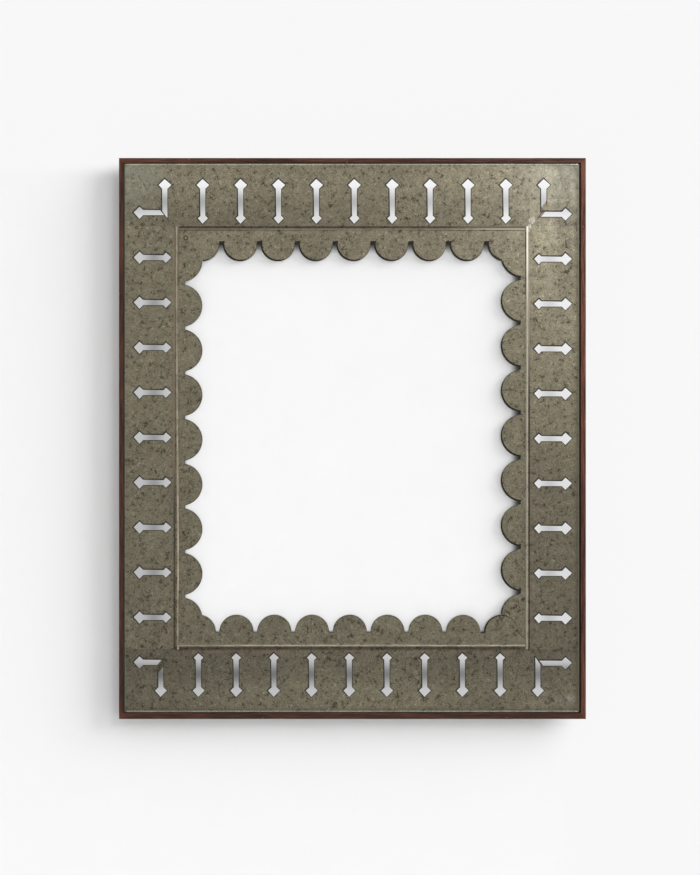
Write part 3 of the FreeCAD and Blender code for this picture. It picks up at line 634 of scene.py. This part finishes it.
# Cleaner, more metallic glass low down and to the left, whose paler colour is painted light that hides
# the strips' shadows there: its colour and least metallic share, how far in it goes on, and where it
# ends below the top and short of the right
GLASS_CLEAN_AND_LIT = (0.950, 0.950, 0.950)
CLEAN_METALLIC = 0.6
CLEAN_REACH = (15 * MM, 160 * MM)
DUSTY_REACH = (110 * MM, 25 * MM)


def silvered_glass():
    """A mirror under a film of dust: white and with the strips' shadows from straight in front, darker
    in the notches with a painted shadow, lighter and more metallic low down and to the left where
    painted light hides the shadows, and glossier from aside."""
    surface = Surface("silvered_glass", 0.03)
    tilt = surface.add("ShaderNodeLayerWeight")
    gloss = surface.steps(tilt.outputs["Facing"], 0.02, 0.35, 0.2, 0.9)
    haze = surface.noise(60 * MM, detail=3)
    colour = surface.blend(surface.steps(haze, 0.3, 0.7), *GLASS_HAZE)
    x, _, z = surface.axes()
    left, right, bottom, top = TIPS
    start, stop = CLEAN_REACH
    on_left = surface.steps(x, left + start, left + stop, 1, 0)
    low_down = surface.steps(z, bottom + start, bottom + stop, 1, 0)
    start, stop = DUSTY_REACH
    below_top = surface.steps(z, top - start, top - stop, 1, 0)
    off_right = surface.steps(x, right - start, right - stop, 1, 0)
    low_left = surface.larger(on_left, low_down)
    # Lighter, more metallic glass low down and to the left: painted light that hides the strips' shadows
    clean_and_lit = surface.times(low_left, surface.times(below_top, off_right))
    colour = surface.blend(clean_and_lit, colour, GLASS_CLEAN_AND_LIT)
    lacking = surface.larger(surface.minus(CLEAN_METALLIC, gloss), 0)
    metallic = surface.plus(gloss, surface.times(clean_and_lit, lacking))
    surface.feed(surface.shader.inputs["Metallic"], metallic)
    # Painted shadow of the strips in the notches
    for value, tip, outward, side in ((x, left, -1, "left"), (x, right, 1, "right"),
                                      (z, bottom, -1, "bottom"), (z, top, 1, "top")):
        depth = surface.times(surface.minus(value, tip), outward)
        start, shade = NOTCH_SHADES[side]
        colour = surface.scaled(colour, surface.steps(depth, start, SCALLOP_DEPTH, 1, shade))
    surface.colour(colour)
    return surface.material


BOARD_FIBRES = ((0.17, 0.125, 0.080), (0.30, 0.235, 0.160))
BOARD_STAIN = (0.15, 0.105, 0.065)


def chipboard():
    """Pressed board with fibres in two browns and a few large stains."""
    surface = Surface("chipboard", 0.85)
    fibres = surface.noise(3 * MM, detail=7, rough=0.7, place=surface.stretched((1, 1, 0.35)))
    colour = surface.blend(surface.steps(fibres, 0.35, 0.65), *BOARD_FIBRES)
    stains = surface.noise(90 * MM, detail=4)
    colour = surface.blend(surface.steps(stains, 0.5, 0.7, 0, 0.5), colour, BOARD_STAIN)
    surface.colour(colour)
    surface.bump(fibres, 0.15 * MM)
    return surface.material


STEEL_SCUFFS = ((0.22, 0.21, 0.185), (0.43, 0.415, 0.375))
STEEL_TARNISH = (0.13, 0.085, 0.05)


def steel():
    """Dull scuffed steel with brown tarnish in places."""
    surface = Surface("dull_steel", 0.4, metallic=0.9)
    scuffs = surface.noise(1.5 * MM, detail=5, place=surface.stretched((1, 1, 0.3)))
    colour = surface.blend(surface.steps(scuffs, 0.35, 0.65), *STEEL_SCUFFS)
    tarnish = surface.steps(surface.noise(5 * MM, detail=4), 0.52, 0.68, 0, 0.7)
    surface.colour(surface.blend(tarnish, colour, STEEL_TARNISH))
    surface.roughness(surface.steps(scuffs, 0.3, 0.7, 0.55, 0.32))
    surface.bump(scuffs, 0.04 * MM)
    return surface.material


def finish_node(name, material):
    """Gives a piece of the CAD its material."""
    node = frame["nodes"][name]
    node.data.materials.clear()
    node.data.materials.append(material)


BAND_TIN = band_tin()
STEEL = steel()
SEAM_SOLDER = solder("seam_solder", (0.060, 0.047, 0.030))
# Pale solder for the lumps, its paleness partly painted sheen
LUMP_SOLDER_AND_SHEEN = solder("lump_solder", (0.52, 0.49, 0.42))
DARK_TIN_AND_SHADE = dark_tin("dark_tin")
STRIP_TIN = strip_tin()
for side in SIDES:
    finish_node(f"rim_rail_{side}", wood(f"rim_wood_{side}", side not in UPRIGHT, WOOD_PAINTED_LIGHT[side]))
    finish_node(f"band_panel_{side}", BAND_TIN)
    finish_node(f"scallop_strip_{side}", STRIP_TIN)
    finish_node(f"bead_{side}", bead_tin(side))
    finish_node(f"tray_rail_{side}", dark_tin(f"tray_tin_{side}", side))
for name in ("corner_lap_top_right", "corner_lap_bottom_left"):
    finish_node(name, BAND_TIN)
for name in ("corner_seam_top_left", "corner_seam_bottom_right"):
    finish_node(name, SEAM_SOLDER)
finish_node("mirror_glass", silvered_glass())
finish_node("backing_board", chipboard())
finish_node("corner_rivet", rivet_steel())
for name in ("corner_brads", "flange_tacks", "hanger_screws",
             "hanger_strap_left", "hanger_strap_right", "hanger_ring_left", "hanger_ring_right"):
    finish_node(name, STEEL)


# Small tin and solder work on the front

def add_piece(name, work, material):
    """A piece on the frame, from a finished bmesh."""
    bmesh.ops.recalc_face_normals(work, faces=work.faces)
    mesh = bpy.data.meshes.new(name)
    work.to_mesh(mesh)
    work.free()
    mesh.materials.append(material)
    for face in mesh.polygons:
        face.use_smooth = True
    piece = bpy.data.objects.new(name, mesh)
    bpy.context.scene.collection.objects.link(piece)
    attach(piece, "frame")


RING_SPACING = 3 * MM
DRIFT_SIZE = 4 * MM
SWELL_SIZE = 6 * MM
SWELL = 0.5


def strip_along(start, end, section, sway=0.0, seed=0):
    """A closed bar with this cross-section, of (across, forward) points, along a line on the front.

    Where sway is given, a noise moves it that far from side to side and makes it swell."""
    begin, finish = Vector(start), Vector(end)
    way = (finish - begin).normalized()
    across = Vector((way.z, 0, -way.x))
    count = max(2, int((finish - begin).length / RING_SPACING))
    work = bmesh.new()
    rings = []
    for step in range(count + 1):
        place = begin.lerp(finish, step / count)
        drift = noise.noise(Vector((place.x, seed, place.z)) / DRIFT_SIZE) * sway
        swelling = noise.noise(Vector((place.z, seed + 5, place.x)) / SWELL_SIZE)
        swell = 1 + swelling * (SWELL if sway else 0)
        ring = [work.verts.new(place + across * (side * swell + drift) - Vector((0, forward * swell, 0)))
                for side, forward in section]
        rings.append(ring)
    for first, second in zip(rings, rings[1:]):
        for i in range(len(section)):
            j = (i + 1) % len(section)
            work.faces.new((first[i], first[j], second[j], second[i]))
    work.faces.new(rings[0])
    work.faces.new(rings[-1])
    return work


def half_round(width, height, sink, points=7):
    """The section of a low ridge that is sunk a little into what carries it."""
    turns = [math.pi * i / (points - 1) for i in range(points)]
    arch = [(-math.cos(turn) * width / 2, math.sin(turn) * height) for turn in turns]
    return [(-width / 2, -sink)] + arch + [(width / 2, -sink)]


LIP_RISE = 0.05 * MM
LIP_WIDTH = 0.85 * MM
# How far a slot's lip reaches into the slot: all round, and more, as painted shade, on walls that face
# right and down
LIP_OVERHANG = 0.15 * MM
SHADE_OVERHANG = 1.05 * MM
SHADE_OVERHANG_WAY = Vector((1, 0, -1)).normalized()
# The scallops' black lip, a painted shadow: its width, how much it grows the more the edge faces
# left and down, and how far the edge must face that way
BLACK_LIP_WIDTH = 0.7 * MM
BLACK_LIP_GROWTH = 1.9 * MM
BLACK_WAY = Vector((-1, 0, -1)).normalized()
BLACK_SHARE = 0.3
# The bottom strip's last scallop: its length, and in millimetres how wide its black lip, a painted
# shadow, is at its tip and how much wider on the left and narrower on the right
LAST_SCALLOP = 38 * MM
LAST_LIP_WIDTH = 1.2
LAST_LIP_GROWTH = 0.9
# At a corner a lip gets wider, by one over this at most
CORNER_LIMIT = 0.5


def cut_edge_lip(name, node, keep, width, material, overhang=None):
    """A flat lip on the front of a sheet along those of its cut edges that are kept. Its width and
    how far it reaches over the edge follow from the way the edge faces."""
    sheet = bmesh.new()
    sheet.from_mesh(frame["nodes"][node].data)
    sheet.transform(frame["nodes"][node].matrix_world)
    bmesh.ops.remove_doubles(sheet, verts=sheet.verts, dist=0.001 * MM)
    sheet.verts.index_update()
    edges, ways = [], {}
    for edge in sheet.edges:
        fronts = [face for face in edge.link_faces if face.normal.y < -0.9]
        walls = [face for face in edge.link_faces if abs(face.normal.y) < 0.1]
        if len(fronts) != 1 or len(walls) != 1:
            continue
        if not keep((edge.verts[0].co + edge.verts[1].co) / 2, walls[0].normal):
            continue
        edges.append([vertex.index for vertex in edge.verts])
        for vertex in edge.verts:
            ways.setdefault(vertex.index, (vertex.co.copy(), []))[1].append(walls[0].normal.copy())
    sheet.free()
    if not edges:
        return
    lip = bmesh.new()
    pairs = {}
    for index, (place, normals) in ways.items():
        middle = sum(normals, Vector()) / len(normals)
        way = middle.normalized()
        corner = max(middle.length, CORNER_LIMIT)
        start = place - Vector((0, LIP_RISE, 0))
        inner = start - way * width(way) / corner
        if overhang:
            start += way * overhang(way) / corner
        pairs[index] = lip.verts.new(start), lip.verts.new(inner)
    for first, second in edges:
        lip.faces.new((*pairs[first], *reversed(pairs[second])))
    add_piece(name, lip, material)


def depth_in(place, rectangle):
    """How far inside a rectangle in the front view a place lies, below zero outside it."""
    left, right, bottom, top = rectangle
    return min(place.x - left, right - place.x, place.z - bottom, top - place.z)


def round_a_slot(place, _):
    """True on the rim of a slot, and not on the band's own edges or mitres."""
    left, right, bottom, top = TIN_EDGE
    across, upright = min(place.x - left, right - place.x), min(place.z - bottom, top - place.z)
    off_mitre = abs(across * MITRE_SLOPE - upright) > 1.5 * MM
    return depth_in(place, TIN_EDGE) > 3 * MM and depth_in(place, BAND_INNER) < -3 * MM and off_mitre


def over_the_glass(place, _):
    """True on a scallop's edge where the mirror, and no other strip, lies behind it."""
    left, right, bottom, top = TIPS
    spread = left < place.x < right or bottom < place.z < top
    return spread and depth_in(place, BEAD_INSIDE) > 2 * MM


def on_last_scallop(place, _):
    """True round the last scallop of the bottom strip, at the right."""
    return place.x > TIPS[1] - LAST_SCALLOP and depth_in(place, BEAD_INSIDE) > 2 * MM


def on_other_scallops(place, way):
    """True round the other scallops of the bottom strip."""
    return over_the_glass(place, way) and not on_last_scallop(place, way)


def facing_low_left(place, way):
    """True where a scallop's edge faces down to the left."""
    return over_the_glass(place, way) and way.dot(BLACK_WAY) > BLACK_SHARE


def facing_elsewhere(place, way):
    """True where a scallop's edge faces any other way."""
    return over_the_glass(place, way) and not facing_low_left(place, way)


def thin(_):
    return LIP_WIDTH


def black_width(way):
    return BLACK_LIP_WIDTH + BLACK_LIP_GROWTH * max(0, way.dot(BLACK_WAY))


def last_scallop_width(way):
    return (LAST_LIP_WIDTH - LAST_LIP_GROWTH * way.x) * MM


def slot_overhang(way):
    return LIP_OVERHANG + SHADE_OVERHANG * max(0, way.dot(SHADE_OVERHANG_WAY))


def lip_shade_and_dirt(name, roughness, metallic, specular, *colours):
    """Painted shade and dirt of two colours on a cut edge."""
    surface = Surface(name, roughness, metallic, specular)
    surface.colour(surface.blend(surface.steps(surface.noise(3 * MM), 0.3, 0.7), *colours))
    return surface.material


def lips():
    """Dark lips on the cut edges, dark edge and painted shade: thin round every slot and scallop, and
    black and wider, a painted shadow, where the scallops face down to the left and round the bottom
    strip's last scallop."""
    black = lip_shade_and_dirt("black_lip", 0.7, 0.2, 0.2, (0.010, 0.008, 0.006), (0.030, 0.025, 0.018))
    grey = lip_shade_and_dirt("edge_lip", 0.6, 0.4, 0.3, (0.016, 0.015, 0.013), (0.050, 0.047, 0.039))
    for side in SIDES:
        panel, strip = f"band_panel_{side}", f"scallop_strip_{side}"
        cut_edge_lip(f"{panel}_lip", panel, round_a_slot, thin, grey, slot_overhang)
        if side in ("top", "right"):
            cut_edge_lip(f"{strip}_lip", strip, facing_elsewhere, thin, DARK_TIN_AND_SHADE)
            cut_edge_lip(f"{strip}_black_lip", strip, facing_low_left, black_width, black)
    left, bottom = "scallop_strip_left", "scallop_strip_bottom"
    cut_edge_lip(f"{left}_lip", left, over_the_glass, thin, DARK_TIN_AND_SHADE)
    cut_edge_lip(f"{bottom}_lip", bottom, on_other_scallops, thin, DARK_TIN_AND_SHADE)
    cut_edge_lip(f"{bottom}_black_lip", bottom, on_last_scallop, last_scallop_width, black)


HEM_WIDTH = 2.2 * MM
HEM_HEIGHT = {"top": 1.0 * MM, "bottom": 0.5 * MM}
HEM_SINK = 1.2 * MM
HEM_MARGIN = {"top": 0.5 * MM, "bottom": 0.0}
# The hem's painted highlight: how light it is at the top and at the bottom, and its colours
HEM_PAINTED_LIGHT = {"top": 1.25, "bottom": 0.8}
HEM_HIGHLIGHT_MIDDLE = (0.31, 0.32, 0.26)
HEM_HIGHLIGHT_LIGHT = (0.42, 0.43, 0.36)


def hems():
    """The folded edge along the top and the bottom of the tin, which a painted highlight shows as a thin
    pale line, lighter at the top than at the bottom.
    """
    left, right, bottom, top = TIN_EDGE
    for side, edge, inward in (("top", top, -1), ("bottom", bottom, 1)):
        surface, colour = tin(f"hem_tin_{side}", TIN_MIDDLE, HEM_HIGHLIGHT_MIDDLE, HEM_HIGHLIGHT_LIGHT, 0.55)
        surface.colour(surface.scaled(colour, HEM_PAINTED_LIGHT[side]))
        z = edge + inward * (HEM_MARGIN[side] + HEM_WIDTH / 2)
        section = half_round(HEM_WIDTH, HEM_HEIGHT[side], HEM_SINK)
        hem = strip_along((left + HEM_WIDTH, TIN_FACE, z), (right - HEM_WIDTH, TIN_FACE, z), section)
        add_piece(f"tin_hem_{side}", hem, surface.material)


SEAM_HEIGHT = 0.12 * MM
SEAM_SWAY = 0.7 * MM
# The dark seams that show near the band's mitres: the pixels of their two ends, and their width
MITRE_SEAMS = (
    ((138.0, 175.0), (141.5, 181.0), 0.8 * MM),
    ((143.0, 183.0), (148.0, 191.5), 0.6 * MM),
    ((158.5, 206.8), (169.5, 221.5), 1.3 * MM),
    ((535.4, 656.2), (541.2, 664.8), 1.5 * MM),
    ((557.0, 689.0), (570.0, 704.0), 0.6 * MM),
    ((542.5, 211.5), (537.0, 219.8), 0.8 * MM),
    ((162.6, 660.9), (166.2, 654.8), 1.1 * MM),
    ((171.0, 649.3), (177.0, 647.6), 1.1 * MM),
)


def mitre_seams():
    """Thin dark ragged seams along the mitres of the band, where they show."""
    for number, (start, stop, wide) in enumerate(MITRE_SEAMS):
        ends = [(x, TIN_FACE, z) for x, z in (at_pixel(*start), at_pixel(*stop))]
        section = half_round(wide, SEAM_HEIGHT, SEAM_HEIGHT)
        seam = strip_along(*ends, section, sway=SEAM_SWAY, seed=number + 1)
        add_piece(f"mitre_seam_{number}", seam, SEAM_SOLDER)


BLOB_SWELL = 0.45
BLOB_FINENESS = 1.6


def blob(place, size, seed):
    """An uneven low lump, wider than it is high, on the front of the tin."""
    work = bmesh.new()
    bmesh.ops.create_icosphere(work, subdivisions=3, radius=1)
    for vertex in work.verts:
        swell = 1 + BLOB_SWELL * noise.noise(vertex.co * BLOB_FINENESS + Vector((seed, 0, 0)))
        vertex.co = vertex.co * swell
        vertex.co.x *= size[0]
        vertex.co.y *= size[1]
        vertex.co.z *= size[2]
        vertex.co += Vector(place)
    return work


# Solder lumps by the top right corner of the bead: pixel, then half sizes across, forward and up
SOLDER_LUMPS = (
    ((532.4, 220.6), (4.4 * MM, 0.45 * MM, 4.0 * MM)),
    ((529.0, 226.4), (3.2 * MM, 0.45 * MM, 3.2 * MM)),
    ((528.0, 230.4), (2.2 * MM, 0.4 * MM, 2.6 * MM)),
)
# Nail heads down the left bead: how far their middle stands off the tin, and their half sizes
NAIL_PIXELS = ((177.8, 277.6), (178.0, 321.3), (179.0, 371.0), (177.2, 420.0), (176.4, 478.4))
NAIL_STANDOFF = 0.7 * MM
NAIL_RADIUS = 1.1 * MM
NAIL_SIZE = (NAIL_RADIUS, NAIL_RADIUS * 0.8, NAIL_RADIUS * 1.2)
# Nicks across the right bead: their ends, how far behind its crown they lie, and their section's
# width, height and sink
NICK_PIXELS = (((524.6, 489.6), (528.6, 486.8)), ((524.6, 547.2), (527.6, 544.6)))
NICK_SET_BACK = 0.35 * MM
NICK_SECTION = (0.9 * MM, 0.45 * MM, 0.5 * MM)
NICK_SWAY = 0.3 * MM


def solder_lumps():
    """Lumps of solder on the tin outside the bead's corner, whose pale colour is partly painted sheen."""
    for number, (pixel, size) in enumerate(SOLDER_LUMPS):
        x, z = at_pixel(*pixel)
        lump = blob((x, TIN_FACE, z), size, number * 3.1)
        add_piece(f"solder_lump_{number}", lump, LUMP_SOLDER_AND_SHEEN)


def bead_nails():
    """Small dark nail heads, half sunk in the bead's slope."""
    for number, pixel in enumerate(NAIL_PIXELS):
        x, z = at_pixel(*pixel)
        nail = blob((x, TIN_FACE - NAIL_STANDOFF, z), NAIL_SIZE, number * 1.7)
        add_piece(f"bead_nail_{number}", nail, DARK_TIN_AND_SHADE)


def bead_nicks():
    """Short dark marks across the crown of the right bead."""
    for number, (start, stop) in enumerate(NICK_PIXELS):
        ends = [(x, BEAD_CROWN + NICK_SET_BACK, z) for x, z in (at_pixel(*start), at_pixel(*stop))]
        nick = strip_along(*ends, half_round(*NICK_SECTION), sway=NICK_SWAY, seed=number)
        add_piece(f"bead_nick_{number}", nick, DARK_TIN_AND_SHADE)


lips()
hems()
mitre_seams()
solder_lumps()
bead_nails()
bead_nicks()


# Backdrop: the wall that the mirror hangs on, and a floor far below

WALL_COLOUR = 0.88
WALL_GAP = 0.1 * MM
SEEN_WHITE = 0.938
# The painted shade of the wall in the slots on each side, at the low and the high end of that side's
# axis: towards the rim, behind the middle of the band, and towards the mirror
SLOT_SHADES = {
    "left": ((0.48, 0.57), (0.300, 0.325), (0.52, 0.555)),
    "right": ((0.70, 0.86), (0.53, 0.69), (0.73, 0.84)),
    "top": ((0.88, 0.92), (0.405, 0.60), (0.70, 0.86)),
    "bottom": ((0.51, 0.58), (0.165, 0.225), (0.52, 0.61)),
}
# Where on a side's axis its shades begin and cease to change
SHADE_RUN = {"left": (-0.25, 0.25), "right": (-0.20, 0.25), "top": (-0.15, 0.25), "bottom": (-0.2, 0.2)}
# Where across the band its middle shade lies and how far from there it has faded, in band widths
SHADE_MIDDLE_SHARE = 0.59
SHADE_FADE_SHARE = 0.28
# Where the slots' painted shade ends, by the distance outside the rim, and where painted light, a
# glow to the lens, has faded out the open wall's shadows, to the right and upwards
SHADED_EDGE = (-6 * MM, -2 * MM, 1, 0)
FADED_RIGHT = (0.24, 0.30, 0, 0.95)
FADED_TOP = (0.34, 0.365, 0, 0.95)


def slot_shade(surface):
    """The painted shade of the wall that shows through the slots, darkest behind the middle of the band
    and lighter towards the top right."""
    x, _, z = surface.axes()
    left, right, bottom, top = TIN_EDGE
    inner_left, inner_right, inner_bottom, inner_top = BAND_INNER

    def across(value, outer, inner, run, side):
        """The painted shade on one side of the band, by how far across and how far along it a place lies.
        """
        share = surface.math("DIVIDE", surface.minus(value, outer), inner - outer)
        away = surface.minus(share, SHADE_MIDDLE_SHARE)
        start, stop = SHADE_RUN[side]
        outward, covered, inward = [surface.steps(run, start, stop, *ends) for ends in SLOT_SHADES[side]]
        past_middle = surface.math("GREATER_THAN", away, 0)
        change = surface.times(past_middle, surface.minus(inward, outward))
        open_shade = surface.plus(outward, change)
        faded = surface.steps(surface.math("ABSOLUTE", away), 0, SHADE_FADE_SHARE)
        rise = surface.times(surface.minus(open_shade, covered), faded)
        return surface.plus(covered, rise)

    shade = across(x, left, inner_left, z, "left")
    for beyond, value, outer, inner, run, side in (
        (surface.math("GREATER_THAN", x, 0), x, right, inner_right, z, "right"),
        (surface.math("GREATER_THAN", z, inner_top), z, top, inner_top, x, "top"),
        (surface.math("LESS_THAN", z, inner_bottom), z, bottom, inner_bottom, x, "bottom"),
    ):
        here = across(value, outer, inner, run, side)
        rest = surface.times(shade, surface.minus(1, beyond))
        shade = surface.plus(rest, surface.times(here, beyond))
    return shade


def mixed(surface, factor, first, second):
    """A shader that goes from the first to the second as the factor goes from 0 to 1."""
    return surface.add("ShaderNodeMixShader", {"Fac": factor, 1: first.outputs[0], 2: second.outputs[0]})


def backdrop_material():
    """A white wall. To the lens it glows with a painted shade of the tin in front of it where it shows
    through the slots, and with painted light that fades out its shadows at the right and the top. It
    is clear from behind."""
    surface = Surface("backdrop", 0.9, specular=0)
    surface.shader.inputs["Base Color"].default_value = (WALL_COLOUR, WALL_COLOUR, WALL_COLOUR, 1)
    seen = surface.add("ShaderNodeLightPath").outputs["Is Camera Ray"]
    x, _, z = surface.axes()
    behind_tin = surface.steps(outside(surface, RIM_EDGE), *SHADED_EDGE)
    in_slot = surface.add("ShaderNodeEmission", {"Strength": slot_shade(surface)})
    glow = surface.add("ShaderNodeEmission", {"Strength": SEEN_WHITE})
    faded = surface.larger(surface.steps(x, *FADED_RIGHT), surface.steps(z, *FADED_TOP))
    open_wall = mixed(surface, surface.times(faded, seen), surface.shader, glow)
    wall = mixed(surface, surface.times(behind_tin, seen), open_wall, in_slot)
    behind = surface.add("ShaderNodeNewGeometry").outputs["Backfacing"]
    one_sided = mixed(surface, behind, wall, surface.add("ShaderNodeBsdfTransparent"))
    surface.links.new(one_sided.outputs[0], surface.nodes["Material Output"].inputs["Surface"])
    return surface.material


ROOM = 6.0
FLOOR_DROP = 1.5


def backdrop():
    """A sheet with its face forward behind the mirror, and another face up on the floor."""
    y = cad_high.y + WALL_GAP
    mesh = bpy.data.meshes.new("backdrop")
    points = [(-ROOM, y, -FLOOR_DROP), (ROOM, y, -FLOOR_DROP), (ROOM, y, ROOM), (-ROOM, y, ROOM),
              (-ROOM, -ROOM * 2, -FLOOR_DROP), (ROOM, -ROOM * 2, -FLOOR_DROP)]
    mesh.from_pydata(points, [], [(0, 1, 2, 3), (4, 5, 1, 0)])
    mesh.materials.append(backdrop_material())
    wall = bpy.data.objects.new("backdrop", mesh)
    bpy.context.scene.collection.objects.link(wall)


backdrop()


# Light, camera and picture

FILL = 0.585
# Suns: where each shines from, its strength, and how wide it is in degrees
WINDOW = ((0.862, -0.309, 0.402), 2.63, 48)
FRONT_FILL = ((0.4, -1, 0.4), 0.31, 16)
BACK_FILL = ((0.5, 1, 0.7), 2.4, 70)
# A small lamp that only reflections show: place, target and power
SOFTBOX = ((0.335, -0.38, 0.335), (0.30, 0, 0.30), 0.65)
SOFTBOX_SIZE = 0.12
SOFTBOX_COLOUR = (0.96, 0.98, 1.0)
CAMERA_DISTANCE = 6.0


def world():
    """White to the lens and in reflections, and a softer fill for everything else."""
    sky = bpy.data.worlds.new("studio")
    sky.use_nodes = True
    nodes, links = sky.node_tree.nodes, sky.node_tree.links
    fill = nodes["Background"]
    fill.inputs["Color"].default_value = (1, 1, 1, 1)
    fill.inputs["Strength"].default_value = FILL
    seen = nodes.new("ShaderNodeBackground")
    seen.inputs["Color"].default_value = (SEEN_WHITE, SEEN_WHITE, SEEN_WHITE, 1)
    path = nodes.new("ShaderNodeLightPath")
    any_of = path.outputs["Is Camera Ray"]
    for kind in ("Is Glossy Ray", "Is Transmission Ray"):
        either = nodes.new("ShaderNodeMath")
        either.operation = "MAXIMUM"
        links.new(any_of, either.inputs[0])
        links.new(path.outputs[kind], either.inputs[1])
        any_of = either.outputs["Value"]
    mix = nodes.new("ShaderNodeMixShader")
    links.new(any_of, mix.inputs["Fac"])
    links.new(fill.outputs["Background"], mix.inputs[1])
    links.new(seen.outputs["Background"], mix.inputs[2])
    links.new(mix.outputs["Shader"], nodes["World Output"].inputs["Surface"])
    bpy.context.scene.world = sky


def aim(thing, place, target):
    thing.location = place
    thing.rotation_euler = (Vector(target) - Vector(place)).to_track_quat("-Z", "Y").to_euler()


def lamp(name, kind, place, target, energy, **settings):
    data = bpy.data.lights.new(name, kind)
    data.energy = energy
    for key, value in settings.items():
        setattr(data, key, value)
    thing = bpy.data.objects.new(name, data)
    bpy.context.scene.collection.objects.link(thing)
    aim(thing, place, target)
    return thing


def sun(name, place, energy, degrees):
    """A sun that shines from this place towards the middle."""
    return lamp(name, "SUN", place, (0, 0, 0), energy, angle=math.radians(degrees))


def lights():
    """Soft light from the upper right, a weak fill from the front and a sheen in the top corner."""
    sun("window", *WINDOW)
    front = sun("front_fill", *FRONT_FILL)
    front.visible_glossy = False
    corner = lamp("softbox", "AREA", *SOFTBOX, shape="SQUARE", size=SOFTBOX_SIZE, color=SOFTBOX_COLOUR)
    corner.visible_diffuse = False


def back_light():
    """A soft lamp behind the mirror, for its back alone: the wall is neither lit by it nor in its way."""
    lamp_behind = sun("back_fill", *BACK_FILL)
    left_out = bpy.data.collections.new("left_out_of_back_fill")
    left_out.objects.link(bpy.data.objects["backdrop"])
    lamp_behind.light_linking.blocker_collection = left_out
    lamp_behind.light_linking.receiver_collection = left_out
    left_out.collection_objects[0].light_linking.link_state = "EXCLUDE"


def camera():
    """A long lens straight in front, framed as the photograph is."""
    data = bpy.data.cameras.new("camera")
    tall = IMAGE_PX[1] * PIXEL
    data.lens = data.sensor_width * (CAMERA_DISTANCE + cad_low.y) / tall
    data.dof.use_dof = False
    thing = bpy.data.objects.new("camera", data)
    bpy.context.scene.collection.objects.link(thing)
    x, z = at_pixel(IMAGE_PX[0] / 2, IMAGE_PX[1] / 2)
    aim(thing, (x, -CAMERA_DISTANCE, z), (x, 0, z))
    bpy.context.scene.camera = thing


world()
lights()
back_light()
camera()
bpy.context.scene.view_settings.view_transform = "Standard"
